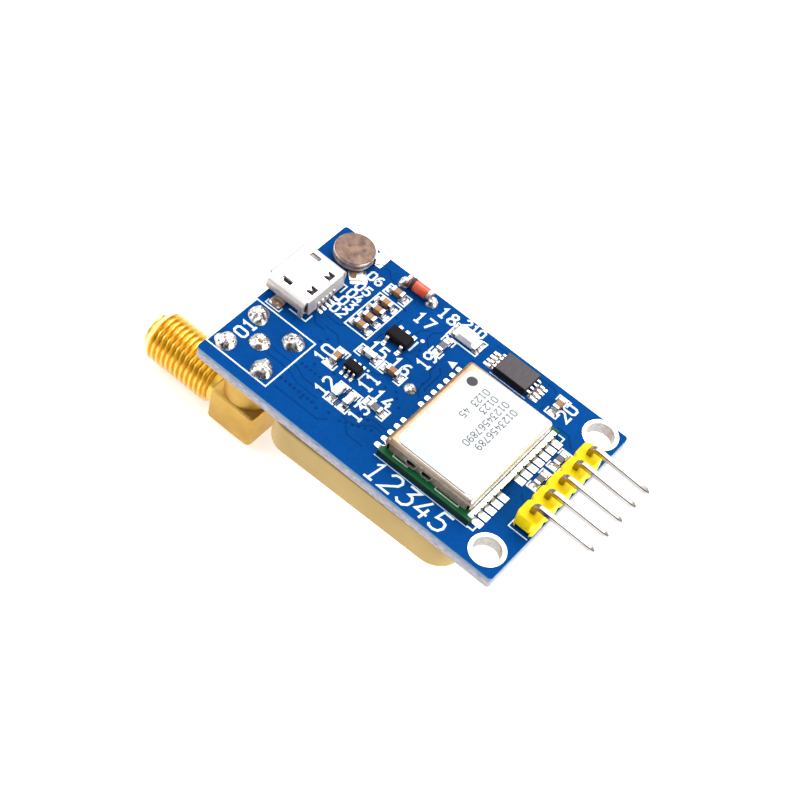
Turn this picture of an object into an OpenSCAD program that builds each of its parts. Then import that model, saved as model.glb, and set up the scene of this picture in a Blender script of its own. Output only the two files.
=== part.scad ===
// Satellite positioning module: a blue carrier board with a shielded receiver, a
// right-angle coaxial jack and a ceramic patch antenna hung under the board.
// +X runs from the socket end to the header end, +Y from the near edge to the far
// edge, +Z up. The origin is midway between the mounting holes, on the board's underside.

/* [Board] */
// Thickness of the carrier board
board_t = 1.6; // [0.8:0.1:2.4]
// Corner radius of the carrier board
board_corner_r = 0.4; // [0.2:0.1:1.5]
// Length of the end with the sockets and the radio parts, up to the receiver's pads
radio_zone_l = 21.1; // [21:0.1:30]
// Length of the end with the pin header, from the receiver's pads
header_zone_l = 4.6; // [4.5:0.1:8]
// Strip between the near edge and the receiver
near_zone_w = 3.35; // [3:0.05:8]
// Strip between the receiver and the far edge
far_zone_w = 5.45; // [5.3:0.05:10]
// Thickness of a copper pad or plating with its solder coat
pad_t = 0.05; // [0.03:0.01:0.1]
// Gap between the corners of a square lead and its plated hole
lead_clear = 0.1; // [0.05:0.01:0.2]
// Width of the solder that spreads beyond a plated hole
solder_rim = 0.38; // [0.2:0.02:0.6]
// Height of a soldered joint above the board
solder_h = 0.75; // [0.4:0.05:1.2]

/* [Mounting holes] */
// Clear diameter of a plated mounting hole
hole_d = 3.2; // [2:0.1:3.5]
// Width of the bare plated ring around a mounting hole
hole_ring_w = 0.45; // [0.2:0.05:0.8]
// Distance from the header end to the hole centres
hole_end_gap = 2.4; // [2.2:0.05:5]
// Distance from the near edge to the near hole's centre
hole_near_gap = 2.55; // [2:0.05:3]
// Distance from the far edge to the far hole's centre
hole_far_gap = 1.95; // [1.9:0.05:3]

/* [Receiver] */
// Width of the receiver's own board, along the carrier
receiver_w = 12.2; // [10:0.1:14]
// Length of the receiver's own board, across the carrier
receiver_l = 16.0; // [15:0.1:20]
// Thickness of the receiver's own board
receiver_t = 0.8; // [0.6:0.1:1.2]
// Length of a solder pad outside the receiver
pad_reach = 1.05; // [0.6:0.05:1.4]
// Offset of the two pad rows from the receiver, towards the header
pad_shift = 0.35; // [0:0.05:0.4]
// Length of a solder pad under the receiver
pad_inset = 0.7; // [0.4:0.05:1.2]
// Width of a solder pad
pad_w = 0.94; // [0.6:0.02:1]
// Spacing of the solder pads
pad_pitch = 1.1; // [1.05:0.01:1.2]
// Spacing of the two pads on either side of the gap in a row
pad_gap = 3.0; // [2:0.1:4]
// Pads in a row before the gap
pads_near = 5; // [3:1:6]
// Pads in a row after the gap
pads_far = 7; // [3:1:8]
// Diameter of the half holes along the receiver's edges
castellation_d = 0.55; // [0.3:0.05:0.8]
// Width of the shield, along the carrier
shield_w = 11.3; // [9:0.1:11.6]
// Length of the shield, across the carrier
shield_l = 14.2; // [11:0.1:15]
// Height of the shield
shield_h = 1.55; // [1.3:0.05:3]
// Sheet thickness of the shield
shield_wall = 0.2; // [0.1:0.05:0.3]
// Bend radius of the shield's outer edges
shield_r = 0.55; // [0.4:0.05:1]
// Width of a vent notch in the shield's near and far walls
notch_w = 1.3; // [0.6:0.1:2]
// Height of a vent notch
notch_h = 0.45; // [0.2:0.05:0.6]
// Middles of the vent notches, from the shield's middle
notch_places = [-2.3, -0.3]; // [-4:0.1:4]
// Width of the open seam at each lower corner of the shield
seam_w = 0.3; // [0.15:0.05:0.5]
// Share of the shield's height that a seam stays open
seam_share = 0.6; // [0.3:0.05:0.7]
// Width of the paper label, along the carrier
label_w = 10.3; // [6:0.1:10.4]
// Length of the paper label, across the carrier
label_l = 13.2; // [8:0.1:13.3]
// Thickness of the paper label
label_t = 0.06; // [0.04:0.01:0.12]
// Corner radius of the paper label
label_r = 1.1; // [0.2:0.1:1.5]
// Side of the square receiver chip
chip_w = 5.0; // [3:0.1:6]
// Height of the receiver chip
chip_h = 0.85; // [0.5:0.05:0.9]
// Length, width and height of the oscillator's can
oscillator_size = [2.5, 2.0, 0.8]; // [0.5:0.1:3]
// Length, width and height of the surface wave filter
filter_size = [1.4, 1.1, 0.5]; // [0.4:0.1:2]
// Length, width and height of a chip part inside the shield
inner_size = [1.0, 0.5, 0.5]; // [0.4:0.1:1.2]

/* [Coaxial jack] */
// Spacing of the jack's four legs
leg_pitch = 5.08; // [4.5:0.01:6]
// Side of a square leg
leg_w = 1.0; // [0.8:0.1:1.2]
// Length of a leg above the board
leg_reach = 0.45; // [0.2:0.05:0.6]
// Side of the square foot against the board
foot_w = 6.4; // [6:0.1:7]
// Thickness of the square foot
foot_t = 2.0; // [1:0.1:3]
// Diameter of the round column between the foot and the elbow block
column_d = 5.9; // [5.6:0.1:6.2]
// Distance from the board's underside to the barrel's axis
axis_drop = 9.4; // [8:0.1:12]
// Size of the elbow block along the barrel
block_l = 6.3; // [6:0.1:7]
// Size of the elbow block across the barrel
block_w = 6.4; // [6.2:0.1:7]
// Height of the elbow block
block_h = 5.0; // [4.8:0.1:6.4]
// Radius of the elbow block's upright edges
block_r = 0.6; // [0.1:0.05:1]
// Bevel of the elbow block's lower edges
block_bevel = 0.35; // [0.1:0.05:0.5]
// Diameter of the neck between block and thread
neck_d = 5.3; // [4.8:0.1:5.8]
// Length of the neck
neck_l = 0.8; // [0.4:0.1:2]
// Outer diameter of the threaded barrel
barrel_d = 6.1; // [6:0.05:6.35]
// Length of the barrel with its plain lip
barrel_l = 9.9; // [8:0.1:14]
// Diameter of the plain lip at the barrel's mouth
mouth_lip_d = 5.5; // [5.2:0.1:5.8]
// Length of the plain lip
mouth_lip_l = 0.9; // [0.4:0.1:1.2]
// Length of the lead-in cone between thread and lip
lead_in = 0.3; // [0.2:0.1:1]
// Diameter of the insulator in the barrel
insulator_d = 4.1; // [3.8:0.1:4.4]
// Diameter of the insulator in the column
stem_d = 3.4; // [2.6:0.1:3.8]
// Depth of the insulator below the barrel's mouth
insulator_inset = 0.3; // [0.1:0.1:1]
// Outer diameter of the spring contact
contact_d = 1.27; // [1.1:0.01:1.5]
// Diameter of the hole in the spring contact
contact_bore_d = 0.94; // [0.8:0.01:1]
// Depth of the hole in the spring contact
contact_bore_l = 3.0; // [2:0.1:4]
// Diameter of the contact's pin through the board
contact_pin_d = 1.0; // [0.8:0.05:1.2]

/* [Patch antenna] */
// Side of the square ceramic block
antenna_side = 25.0; // [18:0.1:30]
// Overhang that a wide antenna may have past each long edge of the board
antenna_overhang = 0.1; // [0:0.05:0.5]
// Height of the ceramic block
antenna_h = 4.0; // [2:0.1:6]
// Corner radius of the ceramic block
antenna_r = 3.0; // [0.5:0.1:4]
// Turn of the hand-placed antenna against the board, in degrees
antenna_turn = 1.2; // [-2:0.1:2]
// Thickness of the adhesive tape
tape_t = 0.2; // [0.1:0.05:0.4]
// Margin of the tape inside the antenna's edge
tape_margin = 0.6; // [0.2:0.1:2]
// Side of the silvered patch on the outer face
patch_side = 20.0; // [12:0.1:22]
// Corner cut of the silvered patch
patch_cut = 2.2; // [0.5:0.1:4]
// Margin of the silvered ground face inside the antenna's edge
ground_margin = 0.3; // [0.1:0.1:2]
// Thickness of the silver coats
silver_t = 0.05; // [0.03:0.01:0.1]
// Diameter of the feed pin
feed_d = 0.9; // [0.6:0.1:1.2]
// Diameter of the feed pin's flat head
feed_head_d = 2.2; // [1.4:0.1:3]
// Thickness of the feed pin's flat head
feed_head_t = 0.3; // [0.2:0.05:0.5]
// Distance from the antenna's centre to the feed pin
feed_offset = 2.9; // [1:0.1:5]
// Clear gap around the feed pin in the ceramic
feed_clear = 0.1; // [0.05:0.05:0.3]
// Length of the feed pin above the board
feed_reach = 0.25; // [0.1:0.05:0.4]
// Height of the feed pin's joint above the board
feed_solder_h = 0.45; // [0.42:0.01:0.6]

/* [USB socket] */
// Depth of the socket's shell
usb_l = 5.2; // [4.6:0.1:6]
// Width of the shell at its top
usb_top_w = 7.4; // [7:0.1:8]
// Width of the shell at the board
usb_low_w = 5.9; // [5.6:0.1:6.4]
// Height of the shell
usb_h = 2.45; // [2.3:0.05:2.8]
// Outer bend radius of the shell
usb_r = 0.6; // [0.5:0.05:0.7]
// Height from which the shell's sides draw in towards the board
usb_waist = 1.25; // [1.1:0.05:1.5]
// Sheet thickness of the shell
usb_wall = 0.3; // [0.2:0.05:0.35]
// Length of the bent lips at the mouth
lip_l = 0.45; // [0.2:0.05:0.8]
// Distance that a lip's tip is bent away from the opening
lip_rise = 0.25; // [0.1:0.05:0.4]
// Length and width of a latch window in the top
latch_size = [1.25, 0.36]; // [0.2:0.01:2]
// Distance from the mouth to a latch window
latch_x = 1.1; // [0.6:0.1:2]
// Spacing of the latch windows
latch_spacing = 4.8; // [4:0.1:5.2]
// Length and width of a lance window at the rear
lance_size = [1.0, 0.95]; // [0.4:0.05:1.5]
// Spacing of the lance windows
lance_spacing = 2.9; // [2:0.1:4]
// Length of a shell foot along the board's end
usb_foot_l = 1.5; // [1:0.1:2]
// Distance from the mouth to a shell foot
usb_foot_x = 1.2; // [0.8:0.1:2]
// Length of the two upright legs at the shell's rear corners
rear_leg_l = 0.6; // [0.4:0.05:1]
// Width of the flap that is folded down behind the shell
flap_w = 5.6; // [4:0.1:6]
// Height of the flap
flap_h = 0.85; // [0.6:0.05:1.1]
// Span of the shell feet, tip to tip
usb_foot_span = 9.0; // [8:0.1:9.6]
// Width of the tongue
tongue_w = 3.7; // [3:0.1:4.2]
// Thickness of the tongue
tongue_t = 0.65; // [0.5:0.05:0.8]
// Distance from the mouth to the tongue's tip
tongue_x = 0.9; // [0.4:0.1:1.5]
// Depth of the tongue's rear block
tongue_block_l = 1.9; // [1:0.1:2.5]
// Number of contacts
usb_contacts_n = 5; // [4:1:5]
// Spacing of the contacts
usb_pitch = 0.65; // [0.6:0.01:0.7]
// Width of a contact
usb_contact_w = 0.28; // [0.2:0.02:0.35]
// Thickness of a contact
usb_contact_t = 0.15; // [0.1:0.01:0.2]
// Height of the contacts above the board
usb_contact_z = 1.05; // [0.8:0.05:1.2]
// Length of a contact's soldered foot
usb_contact_foot = 0.45; // [0.4:0.05:1]

/* [Backup cell] */
// Diameter of the cell's can
cell_d = 4.8; // [4:0.1:5]
// Height of the can
cell_can_h = 1.05; // [0.8:0.05:1.4]
// Edge radius of the can
cell_edge_r = 0.25; // [0.1:0.05:0.4]
// Diameter of the cell's lid
cell_lid_d = 4.1; // [3.4:0.1:4.2]
// Height of the lid below the can
cell_lid_h = 0.25; // [0.1:0.05:0.5]
// Width of the sealing ring
gasket_w = 0.2; // [0.1:0.05:0.3]
// Thickness of the welded tabs
tab_t = 0.15; // [0.1:0.01:0.2]
// Width of a tab
tab_w = 1.7; // [1:0.1:2.2]
// Distance from the cell's centre to a tab's tip
tab_reach = 3.5; // [3.2:0.1:4]
// Height of the tab that is welded to the can's side
side_tab_h = 1.1; // [0.9:0.05:1.2]
// Directions of the two tabs, in degrees
tab_turns = [-44, 40]; // [-60:1:60]

/* [Pin header] */
// Number of pins
pins_n = 5; // [3:1:5]
// Pin spacing
pin_pitch = 2.54; // [2:0.01:2.6]
// Side of a square pin
pin_w = 0.64; // [0.5:0.01:0.7]
// Width of the housing
housing_w = 2.5; // [2:0.05:2.55]
// Height of the housing
housing_h = 2.5; // [2:0.05:3]
// Corner cut of each segment of the housing
housing_cut = 0.45; // [0.2:0.05:0.6]
// Height of the gap under the housing
housing_gap = 0.4; // [0.2:0.05:0.6]
// Width of the rib that the housing stands on
housing_rib_w = 0.6; // [0.4:0.05:0.9]
// Distance from the header end to the pins
header_gap = 1.3; // [1.28:0.01:1.6]
// Offset of the header's middle from the board's middle
header_shift = 0.65; // [-0.8:0.05:0.8]
// Height of the bent pins' axis above the board
pin_run_z = 3.8; // [3.4:0.1:5]
// Inner radius of a pin's bend
pin_bend_r = 0.6; // [0.2:0.05:0.6]
// Length of the pins beyond the board
pin_run_l = 6.2; // [4:0.1:12]
// Length of a pin's tail under the board
pin_tail = 1.2; // [0.8:0.1:2]
// Chamfer of a pin's tip
pin_chamfer = 0.15; // [0.05:0.05:0.25]

/* [Chip parts] */
// Length, width and height of a chip capacitor
capacitor_size = [1.6, 0.8, 0.8]; // [0.4:0.05:2]
// Length, width and height of a chip resistor
resistor_size = [1.6, 0.8, 0.45]; // [0.4:0.05:2]
// Length, width and height of a chip inductor
inductor_size = [1.6, 0.8, 0.75]; // [0.4:0.05:2]
// Length of a metal end on a chip part
end_l = 0.4; // [0.2:0.05:0.5]
// Thickness of the metal ends
end_t = 0.04; // [0.02:0.01:0.08]
// Thickness of the glaze on a resistor
glaze_t = 0.04; // [0.02:0.01:0.06]
// Number of capacitors in the row
row_n = 4; // [2:1:4]
// Spacing of the capacitors in the row
row_pitch = 1.45; // [1.2:0.05:1.5]

/* [Glass diode] */
// Diameter of the glass body
diode_d = 1.42; // [1.2:0.02:1.6]
// Length of the glass body
diode_glass_l = 2.5; // [2:0.1:3]
// Diameter of a metal end
diode_cap_d = 1.5; // [1.3:0.05:1.7]
// Length of a metal end
diode_cap_l = 0.5; // [0.3:0.05:0.8]

/* [Moulded parts] */
// Gap between a moulded body and the board
standoff = 0.1; // [0.05:0.05:0.2]
// Draft of a moulded body's sides
draft = 0.09; // [0.05:0.01:0.15]
// Length, width and height of the regulator's body
regulator_size = [2.9, 1.6, 1.0]; // [0.8:0.1:3.2]
// Lead spacing of the regulator
regulator_pitch = 0.95; // [0.9:0.01:1]
// Span of the regulator's leads
regulator_span = 2.9; // [2.6:0.1:3.2]
// Width of a regulator lead
regulator_lead_w = 0.4; // [0.3:0.05:0.5]
// Length, width and height of the amplifier's body
amplifier_size = [2.0, 1.25, 0.9]; // [0.8:0.05:2.2]
// Lead spacing of the amplifier
amplifier_pitch = 0.65; // [0.6:0.01:0.7]
// Span of the amplifier's leads
amplifier_span = 2.1; // [1.9:0.1:2.4]
// Width of an amplifier lead
amplifier_lead_w = 0.25; // [0.2:0.05:0.3]
// Length, width and height of the memory's body
memory_size = [3.0, 4.4, 1.0]; // [0.8:0.1:5]
// Lead spacing of the memory
memory_pitch = 0.65; // [0.6:0.01:0.7]
// Span of the memory's leads
memory_span = 6.4; // [6:0.1:6.8]
// Width of a memory lead
memory_lead_w = 0.28; // [0.2:0.02:0.34]
// Thickness of the leads
lead_t = 0.15; // [0.1:0.01:0.2]
// Length of a lead inside its body
lead_root = 0.2; // [0.1:0.05:0.3]
// Share of a lead's free length that lies on the board
lead_foot_share = 0.55; // [0.4:0.05:0.65]

/* [Indicator lamp] */
// Length, width and height of the lamp's base
lamp_size = [3.2, 1.6, 0.5]; // [0.4:0.1:3.6]
// Length of the lamp's lens
lens_l = 2.0; // [1.4:0.1:2.2]
// Height of the lamp's lens
lens_h = 0.6; // [0.3:0.05:0.8]

/* [Places] */
// Jack: from the socket end and from the near edge
jack_spot = [4.25, 5.32]; // [0:0.01:25]
// Antenna: from the receiver's middle and from the board's middle
antenna_spot = [-5.95, 0.1]; // [-10:0.05:10]
// Socket: from the far edge to its middle
usb_far_gap = 10.25; // [10.1:0.05:11]
// Cell: from the socket end and from the far edge
cell_spot = [3.45, 2.87]; // [0:0.01:25]
// Diode: from the socket end and from the far edge
diode_spot = [11.73, 1.4]; // [0:0.01:25]
// Single capacitor and row of capacitors: from the socket end
row_x = 10.35; // [10:0.05:11]
// Single capacitor: from the far edge
single_far_gap = 3.45; // [3:0.05:3.6]
// Middle of the row of capacitors: from the far edge
row_far_gap = 7.7; // [7.6:0.05:8]
// Supply capacitor by the memory: from the receiver's middle and from the far edge
supply_spot = [3.85, 2.4]; // [0:0.05:10]
// Antenna supply capacitor: from the socket end and from the near edge
bias_spot = [11.3, 9.7]; // [0:0.05:25]
// Coupling capacitor: from the socket end and from the near edge
coupling_spot = [16.75, 12.6]; // [0:0.05:25]
// Choke beside the coupling capacitor
choke_spot = [13.55, 12.6]; // [0:0.05:25]
// Matching capacitor, and the matching inductor one step further along
match_spot = [14.35, 6.3]; // [0:0.05:25]
// Step between the matching parts
match_step = 1.5; // [1.2:0.05:2]
// Resistor by the receiver: from the socket end and from the near edge
sense_spot = [18.4, 7.7]; // [0:0.05:25]
// Lamp resistor: from the socket end and from the far edge
lamp_resistor_spot = [18.3, 5.35]; // [0:0.05:25]
// Header resistors: from the header end
header_resistor_gap = 3.62; // [3.55:0.01:3.7]
// Header resistors: offsets from the header's middle
header_resistor_y = [0.25, 3.8]; // [-5:0.05:5]
// Lamp: from the socket end and from the far edge
lamp_spot = [19.6, 2.55]; // [0:0.05:25]
// Regulator: from the socket end and from the far edge
regulator_spot = [14.45, 8.25]; // [0:0.05:25]
// Amplifier: from the socket end and from the near edge
amplifier_spot = [13.55, 9.75]; // [0:0.05:25]
// Memory: from the receiver's middle and from the far edge
memory_spot = [-1.85, 2.6]; // [-5:0.05:5]

/* [Hidden] */
$fn = 48;

board_l = radio_zone_l + receiver_w + 2 * pad_reach + header_zone_l;
// As wide as its rows of parts need, and wide enough to back the antenna
board_w = max(near_zone_w + receiver_l + far_zone_w, antenna_side - 2 * antenna_overhang);
hole_spacing = board_w - hole_near_gap - hole_far_gap;
hole_x = board_l - hole_end_gap;
// Board corner at the socket end and near edge, in the part's frame
corner = [-hole_x, -(hole_near_gap + hole_spacing / 2)];

receiver_x = radio_zone_l + pad_reach + receiver_w / 2;
receiver_y = near_zone_w + receiver_l / 2;
receiver_z = pad_t;
shield_z = receiver_z + receiver_t;
row_span = (pads_near + pads_far - 2) * pad_pitch + pad_gap;
// Pad centres across the board, from the receiver's middle
pad_steps = [for (i = [0 : pads_near + pads_far - 1])
    -row_span / 2 + i * pad_pitch + (i < pads_near ? 0 : pad_gap - pad_pitch)];

leg_hole_d = leg_w * sqrt(2) + 2 * lead_clear;
contact_hole_d = contact_pin_d + 2 * lead_clear;
pin_hole_d = pin_w * sqrt(2) + 2 * lead_clear;
feed_hole_d = feed_d + 2 * feed_clear;
leg_signs = [[-1, -1], [-1, 1], [1, -1], [1, 1]];
block_top = -axis_drop + block_h / 2;
mouth_x = -block_l / 2 - neck_l - barrel_l;

antenna_place = [receiver_x + antenna_spot[0], board_w / 2 + antenna_spot[1]];
feed_place = antenna_place - feed_offset * [cos(antenna_turn), sin(antenna_turn)];
ground_z = -tape_t - silver_t;
ceramic_z = ground_z - antenna_h;

usb_place = [0, board_w - usb_far_gap];
cell_place = [cell_spot[0], board_w - cell_spot[1]];
cell_lid_z = tab_t;
cell_can_z = cell_lid_z + cell_lid_h;
header_place = [board_l - header_gap, board_w / 2 + header_shift];
pin_steps = [for (i = [0 : pins_n - 1]) (i - (pins_n - 1) / 2) * pin_pitch];

// Chip parts: place on the board and turn in degrees
row_steps = [for (i = [0 : row_n - 1]) (i - (row_n - 1) / 2) * row_pitch];
capacitors = concat(
    [for (s = row_steps) [row_x, board_w - row_far_gap + s, 0]],
    [[row_x, board_w - single_far_gap, 0],
     [receiver_x + supply_spot[0], board_w - supply_spot[1], 90],
     [bias_spot[0], bias_spot[1], 90],
     [coupling_spot[0], coupling_spot[1], 0],
     [match_spot[0], match_spot[1], 90]]);
inductors = [[choke_spot[0], choke_spot[1], 0],
             [match_spot[0] + match_step, match_spot[1], 90]];
header_resistor_x = board_l - header_resistor_gap;
resistors = concat(
    [for (y = header_resistor_y) [header_resistor_x, header_place[1] + y, 90]],
    [[sense_spot[0], sense_spot[1], 0],
     [lamp_resistor_spot[0], board_w - lamp_resistor_spot[1], 90]]);

// Stands its children on the board's top face, at a place from the board's corner
module on_top(place) {
    translate([corner[0] + place[0], corner[1] + place[1], board_t]) children();
}

// Sets its children at a place from the board's corner, from the underside down
module under(place) {
    translate([corner[0] + place[0], corner[1] + place[1], 0]) children();
}

module rounded_rect(l, w, r) {
    square([l - 2 * r, w], center = true);
    square([l, w - 2 * r], center = true);
    for (x = [-1, 1], y = [-1, 1])
        translate([x * (l / 2 - r), y * (w / 2 - r)]) circle(r);
}

module rounded_plate(l, w, t, r) {
    linear_extrude(t) rounded_rect(l, w, r);
}

module centred_block(size) {
    translate([-size[0] / 2, -size[1] / 2, 0]) cube(size);
}

// Extrudes a profile drawn in Y and Z along +X
module along_x(l) {
    rotate([90, 0, 90]) linear_extrude(l) children();
}

// Extrudes a profile drawn in X and Z across Y, by a width about the middle
module across_y(w) {
    rotate([90, 0, 0]) linear_extrude(w, center = true) children();
}

// Spherical cap that stands on the XY plane
module cap(base_d, h) {
    r = (base_d * base_d / 4 + h * h) / (2 * h);
    rotate_extrude() intersection() {
        translate([0, h - r]) circle(r);
        square([base_d / 2, h]);
    }
}

// Solder joint on a face at Z = 0: fills the plated hole below and crowns it
module joint(bore_d, base_d, h) {
    cap(base_d, h);
    translate([0, 0, -board_t]) cylinder(d = bore_d, h = board_t);
}

module circuit_board() {
    color("#0A55A8") difference() {
        under([board_l / 2, board_w / 2])
            rounded_plate(board_l, board_w, board_t, board_corner_r);
        for (y = [hole_near_gap, board_w - hole_far_gap])
            drilled([hole_x, y], hole_d + 2 * pad_t);
        for (s = leg_signs)
            drilled(jack_spot + s * leg_pitch / 2, leg_hole_d);
        drilled(jack_spot, contact_hole_d);
        drilled(feed_place, feed_hole_d);
        for (y = pin_steps)
            drilled(header_place + [0, y], pin_hole_d);
    }
}

// Round hole through the board, run past both faces by the board's thickness
module drilled(place, d) {
    under(place) translate([0, 0, -board_t]) cylinder(d = d, h = 3 * board_t);
}

// Copper sleeves in the mounting holes, with a ring on each face up to the board's edge
module hole_plating() {
    sleeve_d = hole_d + 2 * pad_t;
    color("#DCDCE0") for (y = [hole_near_gap, board_w - hole_far_gap])
        difference() {
            union() {
                under([hole_x, y]) cylinder(d = sleeve_d, h = board_t);
                intersection() {
                    under([hole_x, y]) for (z = [-pad_t, board_t])
                        translate([0, 0, z]) cylinder(d = hole_d + 2 * hole_ring_w, h = pad_t);
                    under([board_l / 2, board_w / 2]) translate([0, 0, -board_t])
                        centred_block([board_l, board_w, 3 * board_t]);
                }
            }
            drilled([hole_x, y], hole_d);
        }
}

// Soldered pads of the receiver, each with a fillet that climbs into its half hole
module receiver_solder() {
    color("#E4E4E8") on_top([receiver_x, receiver_y])
        for (side = [0, 180], y = pad_steps) rotate(side)
            translate([receiver_w / 2, side == 0 ? y : -y, 0]) {
                reach = pad_reach + (side == 0 ? pad_shift : -pad_shift);
                translate([-pad_inset, -pad_w / 2, 0]) cube([pad_inset + reach, pad_w, pad_t]);
                translate([0, 0, pad_t]) across_y(castellation_d)
                    polygon([[0, 0], [reach * 0.7, 0], [0, receiver_t * 0.8]]);
            }
}

module receiver_board() {
    color("#0B4A2A") on_top([receiver_x, receiver_y]) translate([0, 0, receiver_z]) difference() {
        centred_block([receiver_w, receiver_l, receiver_t]);
        for (x = [-1, 1], y = pad_steps)
            translate([x * receiver_w / 2, y, -receiver_t])
                cylinder(d = castellation_d, h = 3 * receiver_t);
    }
}

// Box with rounded upright edges and a rounded top, standing on the XY plane
module rounded_lid(l, w, h, r) {
    hull() {
        centred_block([l - 2 * r, w - 2 * r, h]);
        rounded_plate(l, w, h - r, r, $fn = 24);
        for (x = [-1, 1], y = [-1, 1])
            translate([x * (l / 2 - r), y * (w / 2 - r), h - r]) sphere(r, $fn = 24);
    }
}

// Pressed can with vent notches in two walls and an open seam at each lower corner
module receiver_shield() {
    wall_y = shield_l / 2;
    color("#D8CFC4") on_top([receiver_x, receiver_y]) translate([0, 0, shield_z]) difference() {
        rounded_lid(shield_w, shield_l, shield_h, shield_r);
        rounded_lid(shield_w - 2 * shield_wall, shield_l - 2 * shield_wall,
                    shield_h - shield_wall, shield_r - shield_wall);
        for (y = [-1, 1], x = notch_places)
            translate([x, y * wall_y, 0]) centred_block([notch_w, 2 * shield_r, notch_h]);
        for (x = [-1, 1], y = [-1, 1])
            translate([x * (shield_w / 2 - shield_r), y * wall_y, 0])
                centred_block([seam_w, 2 * shield_r, shield_h * seam_share]);
    }
}

module receiver_label() {
    color("#F6F5F2") on_top([receiver_x, receiver_y]) translate([0, 0, shield_z + shield_h])
        rounded_plate(label_w, label_l, label_t, label_r);
}

// Sets its children on the receiver's board, at a place from the shield's middle
module in_shield(place) {
    on_top([receiver_x + place[0], receiver_y + place[1]]) translate([0, 0, shield_z]) children();
}

module receiver_chip() {
    color("#26262A") in_shield([0, chip_w * 0.3]) centred_block([chip_w, chip_w, chip_h]);
}

module receiver_oscillator() {
    color("#C9C3B4") in_shield([-chip_w / 2, -chip_w * 0.2 - oscillator_size[1]])
        centred_block(oscillator_size);
}

module receiver_filter() {
    color("#D9C9A0") in_shield([chip_w / 2, -chip_w * 0.2 - 1.5 * filter_size[1]])
        centred_block(filter_size);
}

// Chip parts in two short rows at the near end of the shield
module receiver_passives() {
    color("#A67B52") for (row = [1, 2], x = [-1, 0, 1])
        in_shield([x * 2 * inner_size[0], -shield_l / 2 + shield_r + row * 2 * inner_size[1]])
            centred_block(inner_size);
}

// Turned and milled brass elbow: four legs, square foot, round column, block and barrel
module jack_body() {
    color("#E0A818") under(jack_spot) difference() {
        union() {
            for (s = leg_signs) translate([s[0] * leg_pitch / 2, s[1] * leg_pitch / 2, -foot_t])
                centred_block([leg_w, leg_w, foot_t + board_t + leg_reach]);
            translate([0, 0, -foot_t]) rounded_plate(foot_w, foot_w, foot_t, block_r);
            translate([0, 0, block_top]) cylinder(d = column_d, h = -block_top);
            translate([0, 0, block_top - block_h]) elbow_block();
            translate([0, 0, -axis_drop]) rotate([0, -90, 0]) {
                cylinder(d = neck_d, h = block_l / 2 + neck_l);
                translate([0, 0, block_l / 2 + neck_l]) barrel();
            }
        }
        jack_bores();
    }
}

// Milled block of the elbow, bevelled round its lower face
module elbow_block() {
    hull() {
        rounded_plate(block_l - 2 * block_bevel, block_w - 2 * block_bevel, block_h, block_r);
        translate([0, 0, block_bevel])
            rounded_plate(block_l, block_w, block_h - block_bevel, block_r);
    }
}

// Barrel from its shoulder to its mouth: threaded length, cone and plain lip
module barrel() {
    thread_l = barrel_l - lead_in - mouth_lip_l;
    cylinder(d = barrel_d, h = thread_l);
    translate([0, 0, thread_l]) cylinder(d1 = barrel_d, d2 = mouth_lip_d, h = lead_in);
    translate([0, 0, thread_l + lead_in]) cylinder(d = mouth_lip_d, h = mouth_lip_l);
}

// Elbow-shaped room for the insulator, open at the mouth and at the board
module jack_bores() {
    translate([mouth_x - lead_in, 0, -axis_drop]) rotate([0, 90, 0])
        cylinder(d = insulator_d, h = lead_in - mouth_x + stem_d / 2);
    translate([0, 0, -axis_drop]) cylinder(d = stem_d, h = axis_drop + board_t);
}

module jack_insulator() {
    color("#F0EEE6") under(jack_spot) difference() {
        union() {
            translate([mouth_x + insulator_inset, 0, -axis_drop]) rotate([0, 90, 0])
                cylinder(d = insulator_d, h = stem_d / 2 - mouth_x - insulator_inset);
            translate([0, 0, -axis_drop]) cylinder(d = stem_d, h = axis_drop);
        }
        contact_core();
    }
}

// Outside of the bent contact, from the insulator's face to the top of its pin
module contact_core() {
    translate([mouth_x + insulator_inset, 0, -axis_drop]) rotate([0, 90, 0])
        cylinder(d = contact_d, h = contact_d / 2 - mouth_x - insulator_inset);
    translate([0, 0, -axis_drop])
        cylinder(d = contact_pin_d, h = axis_drop + board_t + leg_reach);
}

module jack_contact() {
    color("#E8BC3A") under(jack_spot) difference() {
        contact_core();
        translate([mouth_x, 0, -axis_drop]) rotate([0, 90, 0])
            cylinder(d = contact_bore_d, h = insulator_inset + contact_bore_l);
    }
}

// Five joints on the board's top, all crowned to the same width
module jack_solder() {
    base_d = leg_hole_d + 2 * solder_rim;
    color("#D6D2CE") on_top(jack_spot) {
        for (s = leg_signs) translate([s[0] * leg_pitch / 2, s[1] * leg_pitch / 2, 0])
            difference() {
                joint(leg_hole_d, base_d, solder_h);
                translate([0, 0, -board_t]) centred_block([leg_w, leg_w, board_t + leg_reach]);
            }
        difference() {
            joint(contact_hole_d, base_d, solder_h);
            translate([0, 0, -board_t]) cylinder(d = contact_pin_d, h = board_t + leg_reach);
        }
    }
}

// Sets its children at the antenna, turned with it
module at_antenna(z) {
    under(antenna_place) translate([0, 0, z]) rotate(antenna_turn) children();
}

// Room for the feed pin through what lies between the board and the antenna's patch
module feed_room(h) {
    translate([-feed_offset, 0, -h]) cylinder(d = feed_hole_d, h = 3 * h);
}

module antenna_tape() {
    side = antenna_side - 2 * tape_margin;
    color("#F2F0EA") at_antenna(-tape_t) difference() {
        rounded_plate(side, side, tape_t, antenna_r);
        feed_room(tape_t);
    }
}

module antenna_ground() {
    side = antenna_side - 2 * ground_margin;
    color("#D9D9DC") at_antenna(ground_z) difference() {
        rounded_plate(side, side, silver_t, antenna_r);
        feed_room(silver_t);
    }
}

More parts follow.
